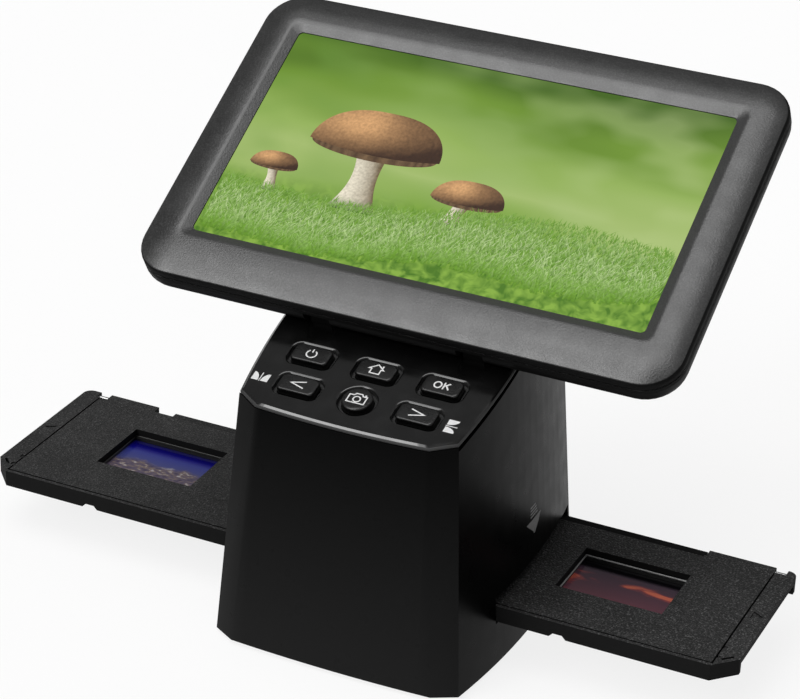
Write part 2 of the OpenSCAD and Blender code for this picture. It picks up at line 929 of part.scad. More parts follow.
module hinge_stand(side) {
    color("#1b1c1e")
        difference() {
            union() {
                on_deck() {
                    translate([side * hinge_x - stand_w / 2 + neck_side, hinge_s - neck_t / 2,
                               -deck_t - close_fit])
                        cube([stand_w - 2 * neck_side, neck_t, deck_t + close_fit + neck_top]);
                    translate([side * hinge_x - stand_flange_w / 2, hinge_s - stand_flange_l / 2,
                               -deck_t - stand_flange_t])
                        cube([stand_flange_w, stand_flange_l, stand_flange_t]);
                }
                on_hinge_axis()
                    translate([side * hinge_x, 0, 0])
                        along_x(-stand_w / 2, stand_w / 2, barrel_r);
            }
            on_hinge_axis()
                translate([side * hinge_x, 0, 0])
                    along_x(-stand_w, stand_w, hinge_pin_r + pin_clear);
            on_deck()
                for (s = [-stand_screw_s, stand_screw_s])
                    translate([side * hinge_x, hinge_s + s, -deck_t - stand_flange_t - cut])
                        cylinder(h = stand_flange_t + cut, r = small_screw_r + screw_fit);
        }
}

module hinge_stand_left() {
    hinge_stand(-1);
}

module hinge_stand_right() {
    hinge_stand(1);
}

module stand_screws() {
    color("#8d8f92")
        on_deck()
            for (side = [-1, 1], s = [-stand_screw_s, stand_screw_s])
                translate([side * hinge_x, hinge_s + s, -deck_t - stand_flange_t - small_head_h])
                    screw(small_screw_r, stand_flange_t + stand_screw_in, small_head_r, small_head_h);
}

module hinge_pins() {
    color("#c4c7ca")
        on_hinge_axis()
            for (side = [-1, 1])
                translate([side * hinge_x, 0, 0])
                    along_x(-bracket_half, bracket_half, hinge_pin_r);
}

module hinge_bracket(side) {
    color("#a6a9ac")
        on_hinge_axis()
            translate([side * hinge_x, 0, 0])
                difference() {
                    union() {
                        for (x0 = [-bracket_half, bracket_half - ear_w]) {
                            along_x(x0, x0 + ear_w, barrel_r);
                            translate([x0, 0, -barrel_r])
                                cube([ear_w, bracket_start + bracket_t, barrel_r]);
                        }
                        translate([-bracket_half, bracket_start, -barrel_r])
                            cube([2 * bracket_half, bracket_l - bracket_start, bracket_t]);
                    }
                    along_x(-bracket_half - cut, bracket_half + cut, hinge_pin_r);
                    translate([0, bracket_screw_s, -barrel_r - cut])
                        cylinder(h = bracket_t + 2 * cut, r = small_screw_r + fit);
                }
}

module hinge_bracket_left() {
    hinge_bracket(-1);
}

module hinge_bracket_right() {
    hinge_bracket(1);
}

module bracket_screws() {
    color("#8d8f92")
        on_hinge_axis()
            for (side = [-1, 1])
                translate([side * hinge_x, bracket_screw_s, -barrel_r + bracket_t + small_head_h])
                    rotate([180, 0, 0])
                        screw(small_screw_r, bracket_t + bracket_grip, small_head_r, small_head_h);
}

// ---------- display ----------

// A level of the housing: the outer outline set in, at one depth
function housing_ring(inset, d) =
    [rounded_points(display_w - 2 * inset, display_h - 2 * inset, display_corner - inset), d];

// Inset and depth of the bezel's skin: a tight shoulder, then a face that arches up to the crown
bezel_skin = concat(
    [for (i = [0:shoulder_steps]) let (a = 90 - (90 - face_tilt) * i / shoulder_steps)
        [shoulder_r * (1 - sin(a)), shoulder_d + shoulder_r * cos(a)]],
    [for (i = [1:face_steps]) let (a = face_tilt * (1 - i / face_steps))
        [crown_w - face_r * sin(a), bezel_crown - face_r * (1 - cos(a))]]);

module bezel_form(inset, drop, low) {
    translate([0, display_mid, 0])
        ring_loft(concat([housing_ring(inset, low)],
                         [for (level = bezel_skin)
                             housing_ring(inset + level.x * (1 - inset / crown_w),
                                          level.y - drop)]));
}

// The picture's opening, with the bevel that runs from its lip up to a rounded crest
module screen_opening() {
    rise = bezel_crown - bezel_lip;
    translate([0, screen_h / 2, 0])
        ring_loft([for (level = concat([[0, -parting_depth], [0, bezel_lip]],
                                       [for (part = crest_levels)
                                           [bezel_bevel * part.x, bezel_lip + rise * part.y]],
                                       [[bezel_bevel * crest_levels[2].x, bezel_crown + cut]]))
            [rounded_points(screen_w + 2 * level.x, screen_h + 2 * level.x,
                            screen_corner + level.x / 2),
             level.y]]);
}

// A fine groove round the side wall of the housing
module side_groove(d) {
    translate([0, display_mid, d])
        difference() {
            linear_extrude(groove_h)
                rounded_rect(display_w + cut, display_h + cut, display_corner);
            translate([0, 0, -cut])
                linear_extrude(groove_h + 2 * cut)
                    rounded_rect(display_w - 2 * groove_in, display_h - 2 * groove_in,
                                 display_corner - groove_in);
        }
}

module display_boss(x, s, d0, d1, r) {
    translate([x, s, d0])
        cylinder(h = d1 - d0, r = r);
}

module display_bezel() {
    color("#3a3b3d")
        on_display()
            difference() {
                bezel_form(0, 0, -parting_depth);
                difference() {
                    bezel_form(display_wall, crown_skin, -parting_depth - cut);
                    for (side = [-1, 1], s = display_boss_ss)
                        display_boss(side * display_boss_x, s, -parting_depth, bezel_crown,
                                     display_boss_r);
                }
                screen_opening();
                side_groove(groove_d);
                side_groove(-parting_depth - cut / 2);
                for (side = [-1, 1], s = display_boss_ss)
                    display_boss(side * display_boss_x, s, -parting_depth - cut, -boss_cap,
                                 small_screw_r + screw_fit);
            }
}

// The back rolls in along a quarter circle, which the lower edge shares with the hinge axis
module back_form(inset, high) {
    translate([0, display_mid, 0])
        ring_loft(concat([for (i = [0:round_steps]) let (a = 90 - 90 * i / round_steps)
                             housing_ring(inset + (hinge_edge_r - inset) * (1 - cos(a)),
                                          -hinge_depth - (hinge_edge_r - inset) * sin(a))],
                         [housing_ring(inset, high)]));
}

module display_back_cover() {
    color("#2c2d2f")
        on_display()
            difference() {
                back_form(0, -parting_depth);
                difference() {
                    back_form(display_wall, -parting_depth + cut);
                    for (side = [-1, 1], s = display_boss_ss)
                        display_boss(side * display_boss_x, s, back_d, -parting_depth, display_boss_r);
                    for (x = [-1, 1], s = [-1, 1])
                        translate([x * (display_board_w / 2 - pad_r), 0, 0])
                            display_boss(0, display_board_s + s * (display_board_h / 2 - pad_r),
                                         back_d, inner_floor + pad_h, pad_r);
                }
                for (side = [-1, 1]) {
                    translate([side * hinge_x - notch_half, axis_s - hinge_edge_r - cut,
                               back_d - cut])
                        cube([2 * notch_half, hinge_edge_r + cut + notch_up,
                              -parting_depth - back_d + 2 * cut]);
                    for (s = display_boss_ss)
                        translate([0, 0, back_d - cut]) {
                            display_boss(side * display_boss_x, s, 0, -back_d, small_screw_r + fit);
                            display_boss(side * display_boss_x, s, 0, display_sink + cut,
                                         small_head_r + fit);
                        }
                    display_boss(side * hinge_x, axis_s + bracket_screw_s,
                                 inner_floor - bracket_grip - fit, inner_floor + cut,
                                 small_screw_r + screw_fit);
                }
            }
}

module lcd_panel() {
    color("#4f8f2f")
        on_display()
            translate([-screen_w / 2 - lcd_margin_x, -lcd_margin_low, -lcd_t - lcd_back])
                cube([screen_w + 2 * lcd_margin_x, screen_h + lcd_margin_low + lcd_margin_top, lcd_t]);
}

module display_board() {
    color("#1d5c3a")
        on_display()
            translate([-display_board_w / 2, display_board_s - display_board_h / 2,
                       inner_floor + pad_h])
                cube([display_board_w, display_board_h, display_board_t]);
}

module display_screws() {
    color("#8d8f92")
        on_display()
            for (side = [-1, 1], s = display_boss_ss)
                translate([side * display_boss_x, s, back_d + display_sink - small_head_h])
                    screw(small_screw_r, -back_d - display_sink - parting_depth + small_grip,
                          small_head_r, small_head_h);
}

// ---------- slide tray ----------

module tray_outline() {
    x = tray_len / 2;
    y = tray_w / 2;
    arc = [for (a = [0:15:90]) [x - tray_back_r * (1 - cos(a)), y - tray_back_r * (1 - sin(a))]];
    polygon(concat([[-x + tray_corner_x, -y], [x - tray_corner_x, -y], [x, -y + tray_corner_y]],
                   arc,
                   [for (i = [len(arc) - 1:-1:0]) [-arc[i].x, arc[i].y]],
                   [[-x, -y + tray_corner_y]]));
}

module tray_end_cuts() {
    x = tray_len / 2;
    y = tray_w / 2;
    translate([x - end_hollow, -y + end_tab_front, -cut])
        cube([end_hollow + cut, tray_w - end_tab_front - end_tab_back, tray_h - end_roof + cut]);
    translate([x - end_hollow, y - end_tab_back - cut, -cut])
        cube([end_hollow - rim_wall, end_tab_back + 2 * cut, tray_h - end_roof + cut]);
    translate([bar_x, rail_y, -cut])
        cube([bar_notch, rail_w + cut, tray_h + 2 * cut]);
    translate([-bar_x - cut, rail_y, -cut])
        cube([bar_x + ear_x0 + cut, rail_w + cut, tray_h + 2 * cut]);
    for (side = [-1, 1]) {
        translate([side * latch_slot_x, latch_slot_y, tray_h - latch_slot_depth])
            rotate([0, 0, side * 45])
                translate([-latch_slot_l / 2, -latch_slot_w / 2, 0])
                    cube([latch_slot_l, latch_slot_w, latch_slot_depth + cut]);
        translate([side * (x - end_bar / 2), window_y, tray_h - arrow_depth])
            linear_extrude(arrow_depth + cut)
                polygon([[-side * arrow_l / 2, -arrow_half], [side * arrow_l / 2, 0],
                         [-side * arrow_l / 2, arrow_half]]);
        for (from_lip = clip_ys)
            translate([side * bar_x, lip_y + from_lip, tray_h])
                cube([2 * clip_w, clip_l, 2 * arrow_depth], center = true);
    }
}

module detent_notch() {
    translate([detent_offset, -tray_w / 2 + detent_d, 0])
        rotate([90, 0, 0])
            linear_extrude(detent_d + cut)
                polygon([[-detent_w / 2, -cut], [detent_w / 2, -cut], [detent_w / 2, 0],
                         [detent_w / 2 - detent_h, detent_h], [-detent_w / 2 + detent_h, detent_h],
                         [-detent_w / 2, 0]]);
}

module tray_base() {
    color("#232425")
        on_tray()
            difference() {
                union() {
                    linear_extrude(tray_floor)
                        tray_outline();
                    intersection() {
                        linear_extrude(tray_h)
                            tray_outline();
                        union() {
                            for (x = [-tray_len / 2, bar_x])
                                translate([x, -tray_w / 2, 0])
                                    cube([end_bar, tray_w, tray_h]);
                            translate([-tray_len / 2, -tray_w / 2, 0])
                                cube([tray_len, lip_w, tray_h]);
                        }
                    }
                    translate([rail_x0, rail_y, 0])
                        cube([rail_x1 - rail_x0, rail_w, rail_top]);
                }
                for (x = window_xs) {
                    translate([x - mount_w / 2 - mount_gap, window_y - mount_w / 2 - mount_gap,
                               pocket_floor])
                        cube([mount_w + 2 * mount_gap, mount_w + 2 * mount_gap, tray_h]);
                    translate([x - window_w / 2, window_y - window_d / 2, -cut])
                        cube([window_w, window_d, tray_h]);
                    translate([x, 0, 0])
                        detent_notch();
                }
                tray_end_cuts();
                translate([0, tray_pin_y, tray_pin_z])
                    for (side = [-1, 1])
                        translate([side * (bar_x + tray_pin_in / 2), 0, 0])
                            along_x(-tray_pin_in / 2 - cut, tray_pin_in / 2, tray_pin_r);
            }
}

module tray_cover() {
    color("#2a2b2c")
        on_tray()
            difference() {
                union() {
                    translate([-bar_x + cover_gap, lip_y + cover_gap, cover_z])
                        cube([2 * (bar_x - cover_gap), rail_y - lip_y - 2 * cover_gap,
                              tray_h - cover_z]);
                    translate([ear_x0, 0, cover_z])
                        cube([ear_x1 - ear_x0, tray_w / 2, tray_h - cover_z]);
                    translate([rail_x1 + cover_gap, 0, cover_z])
                        cube([bar_x - rail_x1 - 2 * cover_gap, tray_w / 2, tray_h - cover_z]);
                }
                for (x = window_xs)
                    translate([x - window_w / 2, window_y - window_d / 2, 0])
                        cube([window_w, window_d, tray_h + cut]);
                translate([0, tray_pin_y, tray_pin_z]) {
                    along_x(ear_x0 - cut, ear_x0 + tray_pin_in, tray_pin_r + pin_clear);
                    along_x(bar_x - tray_pin_in, bar_x + cut, tray_pin_r + pin_clear);
                }
            }
}

module tray_hinge_pins() {
    color("#c4c7ca")
        on_tray()
            translate([0, tray_pin_y, tray_pin_z]) {
                along_x(-bar_x - tray_pin_in, ear_x0 + tray_pin_in - cut, tray_pin_r);
                along_x(bar_x - tray_pin_in + cut, bar_x + tray_pin_in, tray_pin_r);
            }
}

module slide_mounts() {
    color("#d9dadb")
        on_tray()
            for (x = window_xs)
                translate([x, window_y, pocket_floor + screw_fit])
                    difference() {
                        translate([-mount_w / 2, -mount_w / 2, 0])
                            cube([mount_w, mount_w, mount_t]);
                        translate([-picture_w / 2, -picture_d / 2, -cut])
                            cube([picture_w, picture_d, mount_t + 2 * cut]);
                        translate([-picture_w / 2 - film_slot, -picture_d / 2 - film_slot,
                                   (mount_t - 2 * film_t) / 2])
                            cube([picture_w + 2 * film_slot, picture_d + 2 * film_slot, 2 * film_t]);
                    }
}

module slide_films() {
    color("#50506a")
        on_tray()
            for (x = window_xs)
                translate([x - picture_w / 2 - film_edge, window_y - picture_d / 2 - film_edge,
                           pocket_floor + screw_fit + mount_t / 2 - film_t / 2])
                    cube([picture_w + 2 * film_edge, picture_d + 2 * film_edge, film_t]);
}

main_shell();
base_plate();
rubber_feet();
base_screws();
control_deck();
power_button();
home_button();
ok_button();
left_button();
right_button();
capture_button();
button_board();
push_switches();
film_bed();
led_board();
led_chips();
diffuser_plate();
upper_guide();
detent_spring();
camera_hood();
lens_barrel();
lens_glass();
sensor_board();
image_sensor();
main_board();
board_screws();
usb_socket();
video_socket();
card_slot();
hinge_stand_left();
hinge_stand_right();
stand_screws();
hinge_pins();
display_bezel();
display_back_cover();
lcd_panel();
display_board();
hinge_bracket_left();
hinge_bracket_right();
bracket_screws();
display_screws();
tray_base();
tray_cover();
tray_hinge_pins();
slide_mounts();
slide_films();
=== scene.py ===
"""Film and slide scanner: the finishes of its pieces, its printed marks, the picture on its display
and the plain scene round it."""
import json
import math
import random

import bmesh
import bpy
from mathutils import Matrix, Vector
from mathutils.bvhtree import BVHTree


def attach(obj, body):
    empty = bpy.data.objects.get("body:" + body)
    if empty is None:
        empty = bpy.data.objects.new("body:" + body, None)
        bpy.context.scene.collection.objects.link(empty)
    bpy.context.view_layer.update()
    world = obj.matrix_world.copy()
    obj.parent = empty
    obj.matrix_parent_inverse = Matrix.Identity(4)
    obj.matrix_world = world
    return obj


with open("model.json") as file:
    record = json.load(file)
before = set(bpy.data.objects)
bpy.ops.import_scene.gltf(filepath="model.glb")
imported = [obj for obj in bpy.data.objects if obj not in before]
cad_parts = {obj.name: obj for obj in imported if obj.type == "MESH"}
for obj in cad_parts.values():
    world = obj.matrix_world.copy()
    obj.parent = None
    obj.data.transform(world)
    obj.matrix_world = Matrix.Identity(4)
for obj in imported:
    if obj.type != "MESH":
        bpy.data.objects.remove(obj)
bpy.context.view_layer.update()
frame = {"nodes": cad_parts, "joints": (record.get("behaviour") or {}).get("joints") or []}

MM = 0.001
CORNERS = ((-1, -1), (1, -1), (1, 1), (-1, 1))

# The frames that the CAD builds in: the deck, the picture on the display, and the tray
DECK_SLOPE = math.radians(17)
DECK_EDGE = Vector((0, -46.6, 85.7)) * MM
DECK_UP = Vector((0, -math.sin(DECK_SLOPE), math.cos(DECK_SLOPE)))
DECK = Matrix.Translation(DECK_EDGE) @ Matrix.Rotation(DECK_SLOPE, 4, "X")
DISPLAY_TILT = math.radians(30.4)
SCREEN_FROM_HINGE = Vector((0, 13.2, 6.4)) * MM
SCREEN_UP = Vector((0, math.cos(DISPLAY_TILT), math.sin(DISPLAY_TILT)))
HINGE = Vector(next(j["pos_m"] for j in frame["joints"] if j["name"] == "display_tilt"))
DISPLAY = (Matrix.Translation(HINGE) @ Matrix.Rotation(DISPLAY_TILT, 4, "X")
           @ Matrix.Translation(SCREEN_FROM_HINGE))
TRAY_MIDDLE = Vector((-10.8, 10.4, 16.5)) * MM

# The way that the grained face of the bezel looks, leaning a little to the left, so that more of
# its right shoulder takes the walls' painted shade
BEZEL_FACE = Vector((-0.08, -0.6, 0.796))

KEY_NODES = [key + "_button" for key in ("power", "home", "ok", "left", "right", "capture")]

# Keys and printed marks, in the deck's frame (millimetres)
KEY_TOP = 1.0
FRONT_ROW = 11.5
REAR_ROW = 25.3
FRONT_ROW_X = 20.0
REAR_ROW_X = 22.1
MIRROR_MARK = (-32.9, 11.6)
FLIP_MARK = (31.6, 10.7)

# Picture area and the slope round it, in the display's frame (millimetres)
SCREEN_W = 154.2
SCREEN_H = 85.9
SCREEN_CORNER = 1.6
SLOPE_WIDTH = 4.5
PICTURE_INSET = 0.15

# The tray, in its own frame (millimetres): its windows, slide mounts and rear rail
MOUNTS = 4
PITCH = 55.87
WINDOW_Y = 1.35
WINDOW_W = 35.8
WINDOW_D = 26.5
PICTURE_D = 23.4
MOUNT_TOP = 2.95
RAIL_Y = 28.0
RAIL_START = -96.2
RAIL_END = 101.3
# A mount's rim in section: millimetres inside the window's edge, and above the mount
RIM_PROFILE = ((0.1, 0.0), (0.1, 0.25), (0.2, 0.35), (0.45, 0.35), (0.55, 0.25), (0.55, 0.0))
# Half of the length over which the tray's finish changes from left to right
TRAY_FADE = 60 * MM

# The mark on the right side (millimetres): the strips' heights and ends, and the pointer
SIDE_STRIPS = ((43.9, 7.6), (42.8, 8.6), (41.7, 8.9), (40.6, 9.4))
STRIP_START = 3.4
STRIP_HALF = 0.3
SIDE_POINTER = [(0, 39.3), (6.9, 33.8), (10.2, 36.6), (12.4, 39.3)]
# A place clear of that side, from which the mark is laid on it (metres)
OUTSIDE_X = 0.1

# Print: the thickness of the ink, the steps of a round stroke, and the limit of its mitres
INK = 0.03 * MM
ARC_STEPS = 28
MITRE_LIMIT = 0.35

# Sockets of Blender's Map Range node, and of its Mix node when that mixes colours
RANGE_SOCKETS = ("From Min", "From Max", "To Min", "To Max")
MIX_AMOUNT, MIX_FIRST, MIX_SECOND, MIXED = 0, 6, 7, 2
WHITE = (1, 1, 1, 1)

# The range that most of a noise lies in, and a tighter one for more contrast
NOISE = (0.3, 0.7)
NOISE_CORE = (0.35, 0.65)


# ---------- colours and shader nodes ----------

def linear(value):
    """A display value from 0 to 255 as linear light."""
    part = value / 255
    return part / 12.92 if part <= 0.04045 else ((part + 0.055) / 1.055) ** 2.4


def colour(red, green, blue):
    return (linear(red), linear(green), linear(blue), 1.0)


def grey(value):
    return colour(value, value, value)


class Finish:
    """A material under construction: a Principled shader and the nodes that feed it."""

    def __init__(self, name):
        self.material = bpy.data.materials.new(name)
        self.material.use_nodes = True
        self.nodes = self.material.node_tree.nodes
        self.links = self.material.node_tree.links
        self.shader = self.nodes["Principled BSDF"]
        self.place = self.nodes.new("ShaderNodeTexCoord").outputs["Object"]

    def feed(self, socket, value):
        """Gives a socket a number or a colour, or links another node's output to it."""
        if isinstance(value, bpy.types.NodeSocket):
            self.links.new(value, socket)
        else:
            socket.default_value = value

    def set(self, **values):
        """Feeds the shader's sockets, with underscores for the spaces in their names."""
        for name, value in values.items():
            self.feed(self.shader.inputs[name.replace("_", " ")], value)

    def moved(self, place=None, stretch=(1, 1, 1), shift=(0, 0, 0)):
        """A place, stretched and then shifted."""
        node = self.nodes.new("ShaderNodeMapping")
        self.feed(node.inputs["Vector"], place or self.place)
        node.inputs["Location"].default_value = shift
        node.inputs["Scale"].default_value = stretch
        return node.outputs["Vector"]

    def in_tray(self):
        """The three parts of the place in the tray's own frame."""
        return self.parts(self.moved(shift=-TRAY_MIDDLE))

    def noise(self, size, detail=2.0, stretch=(1, 1, 1), place=None, twist=0.0):
        """Soft noise, with features of about this size in metres."""
        node = self.nodes.new("ShaderNodeTexNoise")
        node.inputs["Scale"].default_value = 1 / size
        node.inputs["Detail"].default_value = detail
        node.inputs["Distortion"].default_value = twist
        self.feed(node.inputs["Vector"], self.moved(place, stretch))
        return node.outputs["Fac"]

    def cells(self, size, feature="F1", stretch=(1, 1, 1)):
        """How far the surface is from the middles, or from the edges, of cells of this size."""
        node = self.nodes.new("ShaderNodeTexVoronoi")
        node.feature = feature
        node.inputs["Scale"].default_value = 1 / size
        self.feed(node.inputs["Vector"], self.moved(None, stretch))
        return node.outputs["Distance"]

    def span(self, value, low, high, start=0.0, end=1.0):
        """Start at low, end at high, and level outside them."""
        node = self.nodes.new("ShaderNodeMapRange")
        self.feed(node.inputs["Value"], value)
        for name, number in zip(RANGE_SOCKETS, (low, high, start, end)):
            self.feed(node.inputs[name], number)
        return node.outputs["Result"]

    def fade(self, across, start=0.0, end=1.0):
        """Start towards the tray's left end, and end towards its right."""
        return self.span(across, -TRAY_FADE, TRAY_FADE, start, end)

    def maths(self, operation, first, second=0.0):
        """A sum or another operation on one or two numbers."""
        node = self.nodes.new("ShaderNodeMath")
        node.operation = operation
        self.feed(node.inputs[0], first)
        self.feed(node.inputs[1], second)
        return node.outputs[0]

    def times(self, first, second):
        return self.maths("MULTIPLY", first, second)

    def rest_of(self, part):
        """What the part leaves of 1."""
        return self.maths("SUBTRACT", 1.0, part)

    def mix(self, amount, first, second, blend="MIX"):
        """A colour between two others, or their product."""
        node = self.nodes.new("ShaderNodeMix")
        node.data_type = "RGBA"
        node.blend_type = blend
        self.feed(node.inputs[MIX_AMOUNT], amount)
        self.feed(node.inputs[MIX_FIRST], first)
        self.feed(node.inputs[MIX_SECOND], second)
        return node.outputs[MIXED]

    def ramp(self, value, stops):
        """Colours by value, from (position, colour) stops."""
        node = self.nodes.new("ShaderNodeValToRGB")
        self.feed(node.inputs["Fac"], value)
        elements = node.color_ramp.elements
        while len(elements) < len(stops):
            elements.new(1.0)
        for element, (position, shade) in zip(elements, stops):
            element.position = position
            element.color = shade
        return node.outputs["Color"]

    def parts(self, place=None):
        """The x, y and z of a place."""
        node = self.nodes.new("ShaderNodeSeparateXYZ")
        self.feed(node.inputs[0], place or self.place)
        return node.outputs

    def bump(self, height, depth):
        """The normal of a relief: a height from 0 to 1 over a depth in metres."""
        node = self.nodes.new("ShaderNodeBump")
        node.inputs["Distance"].default_value = depth
        self.feed(node.inputs["Height"], height)
        return node.outputs["Normal"]

    def along(self, direction, vector=None):
        """How far a vector, or the place itself, reaches along a direction."""
        node = self.nodes.new("ShaderNodeVectorMath")
        node.operation = "DOT_PRODUCT"
        self.feed(node.inputs[0], vector or self.place)
        node.inputs[1].default_value = direction
        return node.outputs["Value"]

    def facing(self, direction, low, high):
        """1 where the surface faces along a direction of the part's frame, 0 where it doesn't.
        It changes between two cosines of the angle to that direction."""
        normal = self.nodes.new("ShaderNodeTexCoord").outputs["Normal"]
        return self.span(self.along(direction, normal), low, high)


# ---------- materials ----------

def moulded(name, tone, rough, grain, depth, speckle=0.0, level=0.5, face=None, turn=None,
            wall=0, wall_rough=0.0, wall_shine=1.0, inner=None, foot=None, gloss_depth=None):
    """Moulded plastic: a grain in the surface and faint clouds in the colour. With a face
    direction and its turn, the two cosines between wall and face, the grain is on that face
    alone, and the walls are darker, may be duller and may shine less: their darker colour and
    weaker shine are painted shade. An inner function marks more of the surface as face, a little
    paler, as painted light on that slope. With a foot tone, the front is painted paler towards
    the floor, a painted reflection of the lit floor. With a gloss depth, the surface is duller
    further than that below the deck's plane."""
    finish = Finish(name)
    clouds = finish.noise(18 * MM, detail=3)
    shade = finish.mix(finish.span(clouds, *NOISE_CORE), grey(tone * 0.94), grey(tone * 1.06))
    fine = finish.noise(grain)
    if speckle:
        pits = finish.span(fine, 0.5, 0.36)
        shade = finish.mix(pits, shade, grey(tone / (1 + speckle)))
        flecks = finish.span(fine, 0.5, 0.68)
        shade = finish.mix(flecks, shade, grey(tone * (1 + speckle)))
    soft = finish.span(finish.noise(7 * MM, detail=4), *NOISE, rough - 0.04, rough + 0.05)
    height = fine
    if face:
        top = finish.facing(face, *turn)
        if inner:
            near = inner(finish)
            top = finish.maths("MAXIMUM", top, near)
            # Painted light: the slope round the picture is painted paler
            shade = finish.mix(finish.times(near, 0.5), shade, grey(2.2 * tone))
        # Painted shade: the walls take the darker wall tone
        shade = finish.mix(top, grey(wall), shade)
        height = finish.times(fine, top)
        soft = finish.maths("ADD", soft, finish.times(finish.rest_of(top), wall_rough))
        # Painted shade: the walls' reflection is dimmed through the specular tint
        dim = (wall_shine, wall_shine, wall_shine, 1.0)
        finish.set(Specular_Tint=finish.mix(top, dim, WHITE))
    if foot:
        # Painted reflection of the lit floor: surfaces facing forward grow paler towards the floor
        painted_floor_light = finish.span(finish.parts()[2], 0.0, DECK_EDGE.z, 1.0, 0.0)
        front = finish.times(finish.facing((0, -1, 0), 0.4, 0.9), painted_floor_light)
        shade = finish.mix(front, shade, grey(foot))
    if gloss_depth:
        edge = DECK_EDGE.dot(DECK_UP) - gloss_depth
        blend, dull = 0.1 * MM, 0.75
        soft = finish.span(finish.along(DECK_UP), edge - blend, edge, dull, soft)
    finish.set(Base_Color=shade, Roughness=soft, Specular_IOR_Level=level,
               Normal=finish.bump(height, depth))
    return finish.material


def beside_picture(finish):
    """1 on the slope round the display's picture, and inside it."""
    middle = DISPLAY.translation.dot(SCREEN_UP) + SCREEN_H / 2 * MM
    across = finish.maths("ABSOLUTE", finish.parts()[0])
    rise = finish.maths("ABSOLUTE", finish.maths("SUBTRACT", finish.along(SCREEN_UP), middle))
    slope = SLOPE_WIDTH * MM
    half_w, half_h = SCREEN_W / 2 * MM, SCREEN_H / 2 * MM
    return finish.times(finish.span(across, half_w + slope, half_w + 0.8 * slope),
                        finish.span(rise, half_h + slope, half_h + 0.8 * slope))


def coarse_black(name, tone, wall, rough):
    """The tray's spark-eroded top: pebbled grain, and painted highlights as bright specks in the
    colour, stronger to the right. Its walls are smooth and darker, as painted shade, and so is
    the strip along the rear rail, a painted shadow that deepens to the right."""
    finish = Finish(name)
    across, along, _ = finish.in_tray()
    pebbles = finish.cells(0.62 * MM)
    fine = finish.noise(0.6 * MM)
    clouds = finish.span(finish.noise(15 * MM, detail=4), *NOISE_CORE)
    shade = finish.mix(clouds, grey(tone * 0.85), grey(tone * 1.12))
    # Painted highlights: bright specks in the colour, stronger towards the right
    painted_glints = finish.times(finish.span(fine, 0.54, 0.64), finish.fade(across, 0.4, 0.75))
    shade = finish.mix(painted_glints, shade, grey(tone * 2.2))
    pits = finish.span(pebbles, 0.25, 0.55)
    shade = finish.mix(finish.times(pits, 0.7), shade, grey(tone * 0.4))
    # Painted shadow: the strip along the rear rail takes the dark wall colour, more so to the right
    behind = finish.span(along, (RAIL_Y - 0.2) * MM, RAIL_Y * MM)
    beside = finish.times(finish.span(across, RAIL_START * MM, (RAIL_START + 0.1) * MM),
                          finish.span(across, RAIL_END * MM, (RAIL_END - 0.1) * MM))
    strip = finish.times(finish.times(behind, beside), finish.fade(across, 0.3, 1.0))
    top = finish.times(finish.facing((0, 0, 1), 0.3, 0.6), finish.rest_of(strip))
    grained = finish.span(fine, *NOISE, rough + 0.1, rough - 0.1)
    height = finish.maths("ADD", pebbles, fine)
    # Painted shade: the walls and the strip are darker than the top
    finish.set(Base_Color=finish.mix(top, grey(wall), shade),
               Roughness=finish.span(top, 0.0, 1.0, 0.85, grained), Specular_IOR_Level=0.22,
               Normal=finish.bump(finish.times(height, top), 0.2 * MM))
    return finish.material


def printed_ink(name, tone):
    """Pad-printed ink, slightly uneven and matte."""
    finish = Finish(name)
    ink = finish.span(finish.noise(0.5 * MM, detail=3), *NOISE)
    finish.set(Base_Color=finish.mix(ink, grey(tone - 14), grey(tone)), Roughness=0.6,
               Normal=finish.bump(ink, 0.01 * MM))
    return finish.material


def steel(name):
    """Bright steel with fine turning lines."""
    finish = Finish(name)
    turned = finish.noise(0.4 * MM, detail=3, stretch=(1, 1, 6))
    finish.set(Base_Color=finish.mix(turned, grey(150), grey(190)), Metallic=1.0,
               Roughness=finish.span(turned, *NOISE, 0.24, 0.42),
               Normal=finish.bump(turned, 0.01 * MM))
    return finish.material


def rubber(name):
    """Dark rubber with a fine grain and some dust."""
    finish = Finish(name)
    grain = finish.noise(0.3 * MM, detail=4)
    dust = finish.span(finish.noise(4 * MM, detail=4), 0.45, 0.7)
    finish.set(Base_Color=finish.mix(dust, grey(28), grey(44)), Roughness=0.86,
               Normal=finish.bump(grain, 0.05 * MM))
    return finish.material


def circuit(name):
    """Green solder mask with paler tracks and tinned spots."""
    finish = Finish(name)
    tracks = finish.span(finish.cells(2.6 * MM, "DISTANCE_TO_EDGE"), 0.05, 0.09)
    pads = finish.span(finish.cells(1.9 * MM), 0.16, 0.13)
    mask = finish.mix(tracks, colour(38, 118, 74), colour(20, 84, 52))
    finish.set(Base_Color=finish.mix(pads, mask, grey(185)), Metallic=finish.times(pads, 0.8),
               Roughness=0.38, Normal=finish.bump(tracks, 0.03 * MM))
    return finish.material


def milky(name):
    """White plastic that light comes through: the light box's board, chips and diffuser."""
    finish = Finish(name)
    haze = finish.noise(3 * MM, detail=3)
    finish.set(Base_Color=finish.mix(haze, grey(226), grey(240)), Roughness=0.4,
               Subsurface_Weight=0.2, Subsurface_Scale=2 * MM,
               Normal=finish.bump(finish.noise(0.5 * MM), 0.02 * MM))
    return finish.material


def coated_glass(name):
    """Lens glass with a blue and violet coating."""
    finish = Finish(name)
    sweep = finish.noise(6 * MM, detail=1)
    finish.set(Base_Color=finish.mix(sweep, colour(36, 44, 78), colour(70, 52, 84)),
               Roughness=finish.span(finish.noise(1.5 * MM), *NOISE, 0.03, 0.07),
               Coat_Weight=1.0)
    return finish.material


